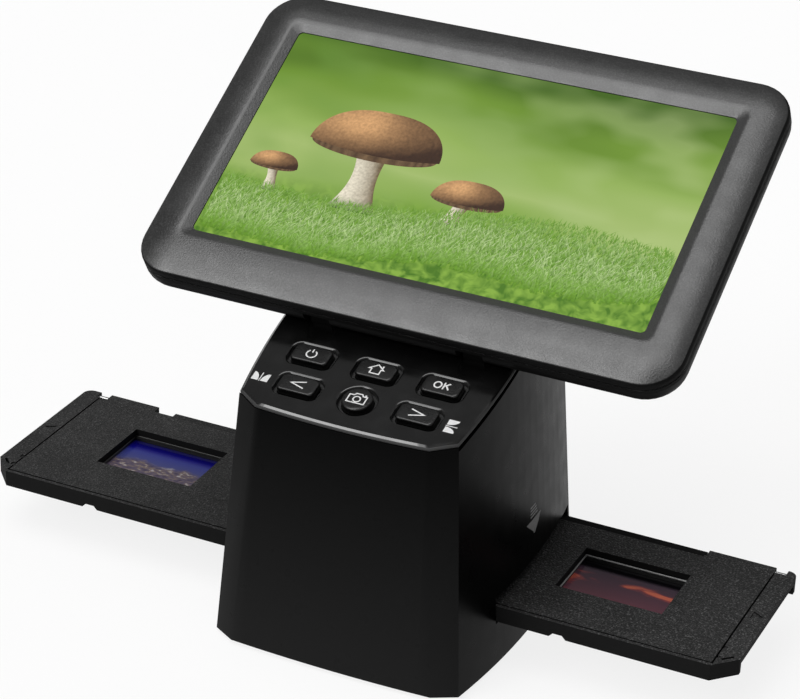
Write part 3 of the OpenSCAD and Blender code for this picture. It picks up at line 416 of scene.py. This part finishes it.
def silicon(name):
    """The image sensor's face: dark cells in a paler metal grid."""
    finish = Finish(name)
    grid = finish.cells(0.8 * MM, "DISTANCE_TO_EDGE")
    cell = finish.span(grid, 0.0, 0.1)
    finish.set(Base_Color=finish.mix(cell, colour(70, 74, 92), colour(26, 28, 44)),
               Metallic=finish.span(grid, 0.0, 0.1, 0.8, 0.3), Roughness=0.22)
    return finish.material


def mount_rim_painted_highlight(name):
    """The rims of the slide mounts: a painted highlight, pale on the right and nearly black on
    the left.
    """
    finish = Finish(name)
    across, _, _ = finish.in_tray()
    fine = finish.noise(0.4 * MM)
    # Painted highlight: pale towards the tray's right end, nearly black at its left
    shade = finish.mix(finish.fade(across), grey(12), grey(165))
    # Dark specks break up the painted highlight
    dark_specks = finish.span(fine, *NOISE_CORE, 0.0, 0.3)
    finish.set(Base_Color=finish.mix(dark_specks, shade, grey(12)), Roughness=0.35,
               Normal=finish.bump(fine, 0.01 * MM))
    return finish.material


def slide_mount(name):
    """The frame of a slide: dark moulded plastic with a fine matte grain."""
    finish = Finish(name)
    fine = finish.noise(0.35 * MM, detail=3)
    clouds = finish.noise(9 * MM, detail=3)
    finish.set(Base_Color=finish.mix(clouds, grey(9), grey(14)), Roughness=0.42,
               Normal=finish.bump(fine, 0.03 * MM))
    return finish.material


def film_pictures(name):
    """Two kinds of picture, told apart by the slide's place in the tray: hills under a blue sky on
    the left, and a dusk sky with lit streaks on the right. At the rear edge each darkens, to deep
    blue and to nearly black: a painted shadow of the cover's wall. Both glow faintly, as painted
    light from behind the film."""
    finish = Finish(name)
    across, along, _ = finish.in_tray()
    height = finish.span(along, (WINDOW_Y - PICTURE_D / 2) * MM, (WINDOW_Y + PICTURE_D / 2) * MM)
    ridge = finish.noise(9 * MM, detail=5, stretch=(1, 0, 0))
    skyline = finish.span(ridge, 0.2, 0.8, 0.34, 0.6)
    # The last two stops, deep blue to nearly black at the rear edge, are a painted shadow of the
    # cover's wall
    sky = finish.ramp(height, [(0.0, colour(78, 76, 104)), (0.5, colour(56, 60, 108)),
                               (0.72, colour(42, 48, 118)), (0.8, colour(10, 8, 104)),
                               (1.0, colour(4, 2, 56))])
    blocks = finish.cells(2.4 * MM, stretch=(1, 1.8, 1))
    rocks = finish.noise(2.2 * MM, detail=4, stretch=(1, 1.8, 1))
    land = finish.ramp(finish.maths("ADD", finish.times(blocks, 0.35), rocks),
                       [(0.4, colour(58, 50, 66)), (0.66, colour(80, 72, 88)),
                        (0.8, colour(104, 90, 84)), (0.93, colour(150, 146, 150))])
    day = finish.mix(finish.span(finish.maths("SUBTRACT", skyline, height), -0.05, 0.05), sky, land)
    banks = finish.noise(8 * MM, detail=5, stretch=(0.5, 1.5, 1), twist=0.5)
    # The last two stops, nearly black at the rear edge, are a painted shadow of the cover's wall
    dusk = finish.ramp(height, [(0.0, colour(92, 50, 60)), (0.5, colour(68, 42, 54)),
                                (0.8, colour(54, 40, 52)), (0.87, colour(8, 7, 10)),
                                (1.0, colour(4, 3, 5))])
    lit = finish.ramp(banks, [(0.55, colour(92, 46, 56)), (0.63, colour(128, 56, 54)),
                              (0.7, colour(176, 88, 66))])
    inner = finish.times(finish.span(height, 0.15, 0.4), finish.span(height, 0.8, 0.6))
    evening = finish.mix(finish.times(finish.span(banks, 0.53, 0.64), inner), dusk, lit)
    picture = finish.mix(finish.span(across, -1 * MM, 1 * MM), day, evening)
    # The faint glow is painted light, as if from behind the film
    finish.set(Base_Color=picture, Roughness=0.16, Specular_IOR_Level=0.35,
               Emission_Color=picture, Emission_Strength=0.15)
    return finish.material


def lit_picture(name, base):
    """A picture that the display's own light shows, under its smooth front film."""
    finish = Finish(name)
    haze = finish.noise(0.2 * MM, detail=1)
    finish.set(Base_Color=grey(4), Roughness=0.35, Specular_IOR_Level=0.12,
               Emission_Color=base(finish), Emission_Strength=1.0,
               Normal=finish.bump(haze, 0.004 * MM))
    return finish.material


def distant_meadow(finish):
    """Soft greens behind the subject: darker at the top, pale in the middle, mottled near the
    front."""
    place = finish.nodes.new("ShaderNodeUVMap").outputs["UV"]
    across, height, _ = finish.parts(place)
    drift = finish.noise(0.5, detail=1, place=place, stretch=(1, 2.2, 1))
    level = finish.maths("ADD", height, finish.span(drift, *NOISE, -0.1, 0.1))
    greens = finish.ramp(level, [(0.0, colour(84, 130, 30)), (0.24, colour(120, 160, 56)),
                                 (0.44, colour(162, 186, 108)), (0.6, colour(146, 176, 88)),
                                 (0.8, colour(108, 144, 44)), (1.0, colour(62, 98, 12))])
    patches = finish.span(finish.noise(0.16, detail=1, place=place), 0.42, 0.66)
    soft = finish.mix(finish.times(patches, 0.35), greens,
                      finish.mix(across, colour(96, 142, 40), colour(190, 208, 142)))
    tufts = finish.noise(0.035, place=place, stretch=(1.4, 0.8, 1), twist=0.6)
    near = finish.mix(finish.span(tufts, *NOISE_CORE), colour(72, 118, 22), colour(134, 174, 64))
    return finish.mix(finish.span(height, 0.34, 0.18), soft, near)


def own_tint(finish):
    """The tint that each painted shape carries, with a fine mottle."""
    node = finish.nodes.new("ShaderNodeAttribute")
    node.attribute_name = "tint"
    mottle = finish.span(finish.noise(0.9 * MM, detail=4), *NOISE)
    gain = finish.mix(mottle, (0.78, 0.78, 0.78, 1), (1.14, 1.14, 1.14, 1))
    return finish.mix(1.0, node.outputs["Color"], gain, blend="MULTIPLY")


def dress(material, *names):
    """Gives nodes a finish, in all their slots."""
    for name in names:
        for slot in frame["nodes"][name].material_slots:
            slot.material = material


def soften(width, *names):
    """Rounds the edges of moulded nodes a little and shades their facets smoothly."""
    for name in names:
        node = frame["nodes"][name]
        weld = node.modifiers.new("weld", "WELD")
        weld.merge_threshold = 0.001 * MM
        bevel = node.modifiers.new("edges", "BEVEL")
        bevel.width = width
        bevel.segments = 2
        bevel.limit_method = "ANGLE"
        bevel.angle_limit = math.radians(28)
        bevel.use_clamp_overlap = True
        smooth = node.modifiers.new("shading", "WEIGHTED_NORMAL")
        smooth.weight = 80


# ---------- printed marks ----------

class Drawing:
    """Flat shapes in millimetres that become one thin printed piece."""

    def __init__(self):
        self.points = []
        self.faces = []

    def shape(self, outline):
        """A filled outline."""
        start = len(self.points)
        self.points += outline
        self.faces.append(list(range(start, start + len(outline))))

    def line(self, path, width, closed=False):
        """A stroke of even width with mitred corners."""
        path = [Vector(p) for p in path]
        count = len(path)
        start = len(self.points)
        for i, point in enumerate(path):
            before = path[i - 1] if closed or i > 0 else None
            after = path[(i + 1) % count] if closed or i < count - 1 else None
            into = (point - before).normalized() if before is not None else None
            out = (after - point).normalized() if after is not None else None
            along = (into + out).normalized() if into and out else into or out
            side = Vector((-along.y, along.x))
            square = Vector((-(out or into).y, (out or into).x))
            reach = width / 2 / max(MITRE_LIMIT, side.dot(square))
            self.points += [tuple(point + side * reach), tuple(point - side * reach)]
        for i in range(count if closed else count - 1):
            a, b = start + 2 * i, start + 2 * ((i + 1) % count)
            self.faces.append([a, a + 1, b + 1, b])

    def arc(self, centre, radius, width, first=0.0, last=360.0, rise=1.0):
        """A round stroke from one angle to another, in degrees, and higher than wide by rise."""
        closed = last - first >= 360
        turns = [math.radians(first + (last - first) * i / ARC_STEPS)
                 for i in range(ARC_STEPS + (not closed))]
        self.line([(centre[0] + radius * math.cos(t), centre[1] + radius * rise * math.sin(t))
                   for t in turns], width, closed)


def new_piece(name, points, faces, body, material):
    """A mesh piece in the CAD's frame, in metres, that rides on a body."""
    mesh = bpy.data.meshes.new(name)
    mesh.from_pydata([tuple(p) for p in points], [], faces)
    mesh.update()
    piece = bpy.data.objects.new(name, mesh)
    bpy.context.scene.collection.objects.link(piece)
    mesh.materials.append(material)
    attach(piece, body)
    return piece


def print_on(name, drawing, place, body, material):
    """Prints a drawing on a plane: its points are millimetres in the plane's own frame."""
    points = [place @ Vector((x * MM, y * MM, 0)) for x, y in drawing.points]
    piece = new_piece(name, points, drawing.faces, body, material)
    solid = piece.modifiers.new("thickness", "SOLIDIFY")
    solid.thickness = INK
    solid.offset = 1


def power_mark():
    mark = Drawing()
    mark.arc((0, -0.15), radius=1.65, width=0.45, first=125, last=415)
    mark.line([(0, 0.5), (0, 2.0)], width=0.45)
    return mark


def home_mark():
    mark = Drawing()
    mark.line([(-2.4, 0.1), (0, 2.1), (2.4, 0.1), (1.55, 0.1), (1.55, -1.9), (-1.55, -1.9),
               (-1.55, 0.1)], width=0.42, closed=True)
    mark.line([(1.75, 1.9), (1.75, 0.95)], width=0.5)
    return mark


def ok_mark():
    mark = Drawing()
    mark.arc((-1.4, 0), radius=1.15, width=0.5, rise=1.12)
    mark.line([(0.6, -1.5), (0.6, 1.5)], width=0.5)
    mark.line([(2.35, 1.4), (0.7, -0.1)], width=0.5)
    mark.line([(1.25, 0.35), (2.5, -1.4)], width=0.5)
    return mark


def arrow_mark(side):
    """An arrow head: side is -1 for left and 1 for right."""
    mark = Drawing()
    mark.line([(-2.3 * side, 1.45), (2.3 * side, 0), (-2.3 * side, -1.45)], width=0.45)
    return mark


def camera_mark():
    mark = Drawing()
    mark.line([(-2.9, -1.9), (2.9, -1.9), (2.9, 1.3), (1.5, 1.3), (0.95, 2.1), (-0.95, 2.1),
               (-1.5, 1.3), (-2.9, 1.3)], width=0.42, closed=True)
    mark.arc((0, -0.25), radius=1.15, width=0.42)
    mark.line([(2.25, 1.5), (2.25, 2.1)], width=0.6)
    return mark


def flip_mark():
    """Two mirrored leaves with a line between them: turn the picture over."""
    mark = Drawing()
    edge, foot = 2.75, -1.75
    turns = [math.radians(15 * i) for i in range(7)]
    curve = [(edge - 2.3 * math.cos(t), foot + 3.5 * math.sin(t)) for t in turns]
    mark.shape([(edge, foot)] + curve[::-1])
    mark.shape([(-edge, foot)] + [(-x, y) for x, y in curve])
    mark.line([(0, -1.9), (0, 1.9)], width=0.3)
    return mark


def on_deck(x, s, height=0.0, turn=0.0):
    """A plane over the deck: x across, s up its slope, and turned about its own normal."""
    return DECK @ Matrix.Translation(Vector((x, s, height)) * MM) @ Matrix.Rotation(turn, 4, "Z")


def print_marks(ink):
    keys = (("power", power_mark(), -REAR_ROW_X, REAR_ROW),
            ("home", home_mark(), 0, REAR_ROW),
            ("ok", ok_mark(), REAR_ROW_X, REAR_ROW),
            ("left", arrow_mark(-1), -FRONT_ROW_X, FRONT_ROW),
            ("right", arrow_mark(1), FRONT_ROW_X, FRONT_ROW),
            ("capture", camera_mark(), 0, FRONT_ROW))
    for name, mark, x, s in keys:
        print_on(name + "_mark", mark, on_deck(x, s, KEY_TOP), name + "_button_cap", ink)
    print_on("mirror_mark", flip_mark(), on_deck(*MIRROR_MARK), "body", ink)
    print_on("flip_mark", flip_mark(), on_deck(*FLIP_MARK, turn=-math.pi / 2), "body", ink)


def print_side_mark(ink):
    """Stacked strips over a pointer, printed on the curved side above the tray's slot."""
    mark = Drawing()
    for z, end in SIDE_STRIPS:
        low, high = z - STRIP_HALF, z + STRIP_HALF
        mark.shape([(STRIP_START, low), (end, low), (end, high), (STRIP_START, high)])
    mark.shape(SIDE_POINTER)
    shell = frame["nodes"]["main_shell"]
    tree = BVHTree.FromPolygons([v.co for v in shell.data.vertices],
                                [p.vertices for p in shell.data.polygons])
    sheet = bmesh.new()
    corners = [sheet.verts.new((0, y * MM, z * MM)) for y, z in mark.points]
    for face in mark.faces:
        sheet.faces.new([corners[i] for i in face])
    bmesh.ops.triangulate(sheet, faces=sheet.faces)
    bmesh.ops.subdivide_edges(sheet, edges=sheet.edges, cuts=4, use_grid_fill=True)
    for vert in sheet.verts:
        outside = Vector((OUTSIDE_X, vert.co.y, vert.co.z))
        hit, normal, _, _ = tree.ray_cast(outside, Vector((-1, 0, 0)))
        vert.co = hit + normal * INK
    points = [v.co.copy() for v in sheet.verts]
    sheet.verts.index_update()
    faces = [[v.index for v in f.verts] for f in sheet.faces]
    sheet.free()
    new_piece("tray_mark", points, faces, "body", ink)


def rim_of_mounts(material):
    """A low rim on each slide mount, just inside the window that shows it."""
    points, faces = [], []
    middle = TRAY_MIDDLE / MM
    rings, sides = len(RIM_PROFILE), len(CORNERS)
    for i in range(MOUNTS):
        x, y = (i - (MOUNTS - 1) / 2) * PITCH, WINDOW_Y
        start = len(points)
        for inset, lift in RIM_PROFILE:
            wide, deep = WINDOW_W / 2 - inset, WINDOW_D / 2 - inset
            for a, b in CORNERS:
                place = Vector((x + a * wide, y + b * deep, MOUNT_TOP + lift))
                points.append((middle + place) * MM)
        for ring in range(rings):
            for corner in range(sides):
                after = (corner + 1) % sides
                a, b = start + ring * sides, start + (ring + 1) % rings * sides
                faces.append([a + corner, a + after, b + after, b + corner])
    new_piece("mount_rims", points, faces, "tray", material)


# ---------- the picture on the display ----------

# Steps of each round corner of the picture
CORNER_STEPS = 6
# Painted layers of a mushroom stand this many millimetres over one another
LAYER = 0.004

GRASS_LOW = colour(58, 100, 12)
GRASS_BASE = colour(100, 146, 38)
GRASS_MIDDLE = colour(112, 162, 40)
GRASS_PALE = colour(216, 236, 176)
GRASS_ROWS = 56
BLADES_IN_ROW = 170
BLADE_STEPS = 3
# Blades start this far from the middle at most, and stay this far inside the picture's edge
GRASS_REACH = 76
GRASS_INSET = 0.3

CAP_DARK = colour(58, 36, 22)
CAP_LIGHT = colour(214, 164, 112)
GILL = colour(128, 102, 72)
CAP_COLUMNS = 40
CAP_ROWS = 18
GILL_ROWS = 3

STEM_DARK = colour(112, 94, 66)
STEM_LIGHT = colour(242, 234, 212)
STEM_ROWS = 18
# Columns on each side of a stem's middle
STEM_SIDE = 7


def rounded_outline(width, height, radius):
    """A rectangle with round corners, about its middle."""
    points = []
    for x, y, first in ((1, 1, 0), (-1, 1, 90), (-1, -1, 180), (1, -1, 270)):
        for i in range(CORNER_STEPS + 1):
            turn = math.radians(first + 90 * i / CORNER_STEPS)
            points.append((x * (width / 2 - radius) + radius * math.cos(turn),
                           y * (height / 2 - radius) + radius * math.sin(turn)))
    return points


def on_screen(x, y, lift=0.0):
    """A place in the picture: x from its middle and y from its lower edge, in millimetres."""
    return DISPLAY @ Vector((x * MM, y * MM, lift * MM))


class Painting:
    """Painted shapes on the screen: each point has a place in millimetres and a tint."""

    def __init__(self):
        self.points = []
        self.tints = []
        self.faces = []

    def strip(self, left, right, tints, lift):
        """A band between two paths, with one tint for each pair of points."""
        start = len(self.points)
        for a, b, tint in zip(left, right, tints):
            self.points += [on_screen(*a, lift), on_screen(*b, lift)]
            self.tints += [tint, tint]
        for i in range(len(left) - 1):
            a = start + 2 * i
            self.faces.append([a, a + 1, a + 3, a + 2])

    def grid(self, rows, lift):
        """A patch of (x, y, tint) rows with equally many points."""
        start = len(self.points)
        width = len(rows[0])
        for row in rows:
            for x, y, tint in row:
                self.points.append(on_screen(x, y, lift))
                self.tints.append(tint)
        for j in range(len(rows) - 1):
            for i in range(width - 1):
                a = start + j * width + i
                self.faces.append([a, a + 1, a + width + 1, a + width])

    def make(self, name, material):
        """The piece, with its tints for own_tint to read."""
        piece = new_piece(name, self.points, self.faces, "display", material)
        layer = piece.data.color_attributes.new("tint", "FLOAT_COLOR", "POINT")
        for i, tint in enumerate(self.tints):
            layer.data[i].color = tint


def between(amount, first, second):
    """A colour on the way from the first to the second."""
    amount = max(0.0, min(1.0, amount))
    return tuple(a + (b - a) * amount for a, b in zip(first, second))


def far_edge(x):
    """Height of the far edge of the grass that is in focus: it rises gently to the right, in
    waves."""
    return 27 + 0.07 * x + 2.5 * math.sin(x / 19)


def near_edge(x):
    """Height of its near edge."""
    return 5 + 0.06 * x + 2 * math.sin(x / 13 + 1)


def paint_blade(painting, x, foot, length, lean, width, low, high, lift):
    """A blade that bends to one side and ends in a point, with a tint at its foot and its tip."""
    left, right, tints = [], [], []
    limit = SCREEN_W / 2 - GRASS_INSET
    for i in range(BLADE_STEPS + 1):
        t = i / BLADE_STEPS
        middle = x + lean * t * t
        half = width / 2 * (1 - t ** 1.6)
        top = max(GRASS_INSET, foot + length * t)
        left.append((max(-limit, min(limit, middle - half)), top))
        right.append((max(-limit, min(limit, middle + half)), top))
        tints.append(between(t, low, high))
    painting.strip(left, right, tints, lift)


def paint_grass(painting):
    """Blades from the far edge to the near one. The middle rows are in focus and catch the light,
    and the rows at both edges fade into the blurred grass behind them."""
    chance = random.Random(7)
    for row in range(GRASS_ROWS):
        depth = row / (GRASS_ROWS - 1)
        focus = math.sin(math.pi * (0.06 + 0.88 * depth)) ** 0.8
        lift = 0.04 + 0.1 * depth
        for _ in range(BLADES_IN_ROW):
            x = chance.uniform(-GRASS_REACH, GRASS_REACH)
            foot = far_edge(x) * (1 - depth) + near_edge(x) * depth + chance.uniform(-0.8, 0.8)
            length = (2.0 + 2.8 * depth) * chance.uniform(0.6, 1.3)
            light = chance.random() ** 1.2 * focus
            low = between(0.75 * focus * chance.random(), GRASS_BASE, GRASS_LOW)
            high = between(light, GRASS_MIDDLE, GRASS_PALE)
            lean = chance.gauss(0.15, 0.45) * length
            width = (0.3 + 0.4 * depth) * chance.uniform(0.7, 1.3)
            paint_blade(painting, x, foot, length, lean, width, low, high, lift)


def paint_stem(painting, x, foot, height, reach, tilt, lift):
    """A stem that swells at its foot, lit from the left and shaded by the cap at its top."""
    chance = random.Random(int(x * 10))
    rows = []
    for j in range(STEM_ROWS + 1):
        t = j / STEM_ROWS
        middle = x + tilt * t * t
        # Narrower half way up, and swollen at the foot
        half = reach * (0.25 - 0.07 * math.sin(math.pi * t) + 0.12 * (1 - t) ** 3)
        row = []
        for i in range(2 * STEM_SIDE + 1):
            u = i / STEM_SIDE - 1
            # Darker to the right and under the cap, with a mottle
            light = 0.66 - 0.45 * u - 0.2 * u * u + 0.12 * (chance.random() - 0.5) - 0.45 * t ** 4
            shade = between(light, STEM_DARK, STEM_LIGHT)
            row.append((middle + half * u, foot + height * t, between(5 * t, GRASS_LOW, shade)))
        rows.append(row)
    painting.grid(rows, lift)


def paint_cap(painting, centre, rim, reach, lift):
    """A domed cap over a strip of dark gills, lit from the upper left."""
    chance = random.Random(int(centre * 10 + rim))
    sweep = [math.sin(math.pi * (i / CAP_COLUMNS - 0.5)) for i in range(CAP_COLUMNS + 1)]
    gills = []
    for j in range(GILL_ROWS + 1):
        row = []
        for u in sweep:
            # The gills hang lowest in the middle, and their tint comes and goes across the cap
            sag = reach * 0.2 * (1 - j / GILL_ROWS) * math.sqrt(1 - u * u)
            tint = between(0.5 + 0.25 * math.sin(u * 60), CAP_DARK, GILL)
            row.append((centre + 0.96 * reach * u, rim - sag, tint))
        gills.append(row)
    painting.grid(gills, lift)
    dome = []
    for j in range(CAP_ROWS + 1):
        rise = math.sin(j / CAP_ROWS * math.pi / 2)
        half = reach * math.cos(j / CAP_ROWS * math.pi / 2) ** 0.75
        row = []
        for u in sweep:
            # Lighter to the left and upwards, with a bright spot and a dark rim
            spot = math.exp(-((u + 0.35) ** 2 * 4 + (rise - 0.62) ** 2 * 9))
            light = 0.3 - 0.26 * u + 0.18 * rise + 0.55 * spot - 0.3 * (1 - rise) ** 3
            light += 0.07 * (chance.random() - 0.5)
            sag = reach * 0.1 * (1 - rise) * (1 - u * u)
            tint = between(light, CAP_DARK, CAP_LIGHT)
            row.append((centre + half * u, rim - sag + reach * 0.68 * rise, tint))
        dome.append(row)
    painting.grid(dome, lift + LAYER)


def paint_mushroom(painting, x, foot, height, reach, tilt, lift):
    """A mushroom whose cap reaches this far to each side and stands off its foot by the tilt."""
    paint_stem(painting, x, foot, height, reach, tilt, lift)
    paint_cap(painting, x + tilt, foot + height, reach, lift + LAYER)


def show_picture():
    """The blurred meadow fills the screen, and the mushrooms and the grass are painted over it."""
    outline = rounded_outline(SCREEN_W - 2 * PICTURE_INSET, SCREEN_H - 2 * PICTURE_INSET,
                              SCREEN_CORNER)
    points = [on_screen(x, y + SCREEN_H / 2) for x, y in outline]
    back = new_piece("screen_picture", points, [list(range(len(points)))], "display",
                     lit_picture("distant_meadow", distant_meadow))
    layer = back.data.uv_layers.new(name="picture")
    for loop in back.data.loops:
        x, y = outline[loop.vertex_index]
        layer.data[loop.index].uv = (x / SCREEN_W + 0.5, y / SCREEN_H + 0.5)
    painted = lit_picture("painted_shapes", own_tint)
    subject = Painting()
    paint_mushroom(subject, x=-60, foot=21, height=10, reach=8.5, tilt=-2.0, lift=0.02)
    paint_mushroom(subject, x=-30, foot=20, height=25, reach=23, tilt=-2.0, lift=0.03)
    paint_mushroom(subject, x=3, foot=22.5, height=10, reach=12.5, tilt=2.5, lift=0.02)
    subject.make("screen_mushrooms", painted)
    lawn = Painting()
    paint_grass(lawn)
    lawn.make("screen_grass", painted)


# ---------- scene ----------

# Half of the floor's side, and how far off the lamps stand (metres)
FLOOR_REACH = 12.0
LAMP_DISTANCE = 2

# The floor's own light and the studio's, as shares of white. The walls end at one angle over the
# floor, and the ceiling begins at another.
FLOOR_GLOW = 0.84
WALL = 0.25
CEILING = 0.2
WALL_TOP = math.sin(math.radians(10))
CEILING_LOW = math.sin(math.radians(34))

# The photograph's camera: its angles in degrees, its place in the part's frame, the width of its
# sensor and its focal length in millimetres, and its clipping in metres
CAMERA_AZIMUTH = 24.25
CAMERA_ELEVATION = 26.34
CAMERA_ROLL = 2.3
CAMERA_PLACE = Vector((314.72, -704.43, 472.91)) * MM
CAMERA_SENSOR = 36
CAMERA_LENS = 124.0
CAMERA_NEAR = 0.05
CAMERA_FAR = 50


def direction(azimuth, elevation):
    """The way to something seen at these degrees. Azimuth 0 is the front, 90 the right."""
    a, e = math.radians(azimuth), math.radians(elevation)
    return Vector((math.sin(a) * math.cos(e), -math.cos(a) * math.cos(e), math.sin(e)))


def add_floor():
    """A pale floor that takes the object's shadow, and glows for the camera and in reflections."""
    finish = Finish("pale_floor")
    dust = finish.noise(0.3)
    path = finish.nodes.new("ShaderNodeLightPath")
    seen = finish.maths("MAXIMUM", path.outputs["Is Camera Ray"],
                        finish.maths("MAXIMUM", path.outputs["Is Glossy Ray"],
                                     path.outputs["Is Transmission Ray"]))
    glow = finish.times(seen, FLOOR_GLOW)
    white = finish.mix(dust, grey(246), grey(250))
    finish.set(Base_Color=finish.mix(glow, white, grey(0)), Roughness=0.95,
               Specular_IOR_Level=0.0, Emission_Color=WHITE, Emission_Strength=glow)
    mesh = bpy.data.meshes.new("floor")
    mesh.from_pydata([(x * FLOOR_REACH, y * FLOOR_REACH, 0) for x, y in CORNERS], [],
                     [(0, 1, 2, 3)])
    floor = bpy.data.objects.new("floor", mesh)
    bpy.context.scene.collection.objects.link(floor)
    mesh.materials.append(finish.material)


def add_world():
    """A studio: white walls round the floor, and a dimmer ceiling over it."""
    world = bpy.data.worlds.new("studio")
    bpy.context.scene.world = world
    world.use_nodes = True
    nodes, links = world.node_tree.nodes, world.node_tree.links
    background = nodes["Background"]
    background.inputs["Color"].default_value = WHITE
    parts = nodes.new("ShaderNodeSeparateXYZ")
    links.new(nodes.new("ShaderNodeTexCoord").outputs["Generated"], parts.inputs[0])
    span = nodes.new("ShaderNodeMapRange")
    links.new(parts.outputs["Z"], span.inputs["Value"])
    for name, number in zip(RANGE_SOCKETS, (WALL_TOP, CEILING_LOW, WALL, CEILING)):
        span.inputs[name].default_value = number
    links.new(span.outputs["Result"], background.inputs["Strength"])


def add_lamp(name, azimuth, elevation, spread, strength):
    """A broad soft light from far away."""
    back = direction(azimuth, elevation)
    light = bpy.data.lights.new(name, "SUN")
    light.angle = math.radians(spread)
    light.energy = strength
    lamp = bpy.data.objects.new(name, light)
    bpy.context.scene.collection.objects.link(lamp)
    lamp.location = back * LAMP_DISTANCE
    lamp.rotation_mode = "QUATERNION"
    lamp.rotation_quaternion = back.to_track_quat("Z", "Y")


def add_camera():
    """The photograph's view."""
    data = bpy.data.cameras.new("camera")
    data.sensor_width = CAMERA_SENSOR
    data.lens = CAMERA_LENS
    data.clip_start = CAMERA_NEAR
    data.clip_end = CAMERA_FAR
    camera = bpy.data.objects.new("camera", data)
    bpy.context.scene.collection.objects.link(camera)
    back = direction(CAMERA_AZIMUTH, CAMERA_ELEVATION)
    roll = Matrix.Rotation(math.radians(CAMERA_ROLL), 4, "Z")
    turn = back.to_track_quat("Z", "Y").to_matrix().to_4x4() @ roll
    camera.matrix_world = Matrix.Translation(CAMERA_PLACE) @ turn
    bpy.context.scene.camera = camera


def dress_nodes():
    """Every CAD node gets its finish, and the moulded ones softer edges."""
    # The shell's front is painted paler towards the floor, a painted reflection of the floor
    dress(moulded("shell_black", tone=4, rough=0.3, grain=0.5 * MM, depth=0.003 * MM, level=0.035,
                  foot=32),
          "main_shell", "hinge_stand_left", "hinge_stand_right", "base_plate")
    dress(moulded("deck_black", tone=7, rough=0.16, grain=0.6 * MM, depth=0.003 * MM, level=0.85,
                  gloss_depth=0.42 * MM),
          "control_deck")
    # Painted shade: the keys' walls are darker than their tops
    dress(moulded("key_grey", tone=13, rough=0.28, grain=0.6 * MM, depth=0.05 * MM, speckle=0.8,
                  face=DECK_UP, turn=(0.85, 0.97), wall=5),
          *KEY_NODES)
    # Painted shade on the bezel's walls and right shoulder, painted light on the slope round the
    # picture
    dress(moulded("bezel_grey", tone=26, rough=0.34, grain=0.55 * MM, depth=0.065 * MM, speckle=1.0,
                  level=0.9, face=BEZEL_FACE, turn=(0.78, 0.93), wall=6, wall_rough=0.5,
                  wall_shine=0.15, inner=beside_picture),
          "display_bezel")
    dress(moulded("cover_grey", tone=13, rough=0.5, grain=0.6 * MM, depth=0.03 * MM, speckle=0.3,
                  level=0.12),
          "display_back_cover")
    # Painted highlights on the tray's top, painted shade on its walls, painted shadow along its
    # rail
    dress(coarse_black("tray_black", tone=54, wall=7, rough=0.5), "tray_base", "tray_cover")
    dress(moulded("inner_black", tone=24, rough=0.6, grain=0.5 * MM, depth=0.05 * MM),
          "film_bed", "upper_guide", "camera_hood", "lens_barrel")
    dress(rubber("rubber"), "rubber_feet")
    dress(steel("steel"), "base_screws", "board_screws", "stand_screws", "bracket_screws",
          "display_screws", "hinge_pins", "tray_hinge_pins", "detent_spring", "hinge_bracket_left",
          "hinge_bracket_right", "usb_socket", "video_socket", "card_slot", "push_switches")
    dress(circuit("circuit_green"), "button_board", "sensor_board", "main_board", "display_board")
    dress(milky("led_white"), "led_board", "led_chips", "diffuser_plate")
    dress(coated_glass("lens"), "lens_glass")
    dress(silicon("sensor_dark"), "image_sensor")
    dress(slide_mount("mount_plastic"), "slide_mounts")
    dress(film_pictures("film"), "slide_films")
    dress(moulded("screen_edge", tone=20, rough=0.4, grain=0.5 * MM, depth=0.02 * MM), "lcd_panel")
    soften(0.35 * MM, "main_shell")
    soften(0.22 * MM, *KEY_NODES)
    soften(0.25 * MM, "control_deck", "tray_base", "tray_cover", "display_bezel",
           "display_back_cover")


bpy.context.scene.view_settings.view_transform = "Standard"
add_camera()
add_world()
add_lamp("key", azimuth=-34, elevation=49, spread=40, strength=0.9)
add_lamp("front", azimuth=-28, elevation=34, spread=25, strength=0.6)
add_lamp("top", azimuth=-52, elevation=80.5, spread=44, strength=1.2)
add_lamp("rear", azimuth=150, elevation=35, spread=50, strength=0.2)
add_floor()
dress_nodes()
print_marks(printed_ink("white_ink", tone=232))
print_side_mark(printed_ink("grey_ink", tone=120))
# The mount rims carry a painted highlight
rim_of_mounts(mount_rim_painted_highlight("mount_rim_painted_highlight"))
show_picture()
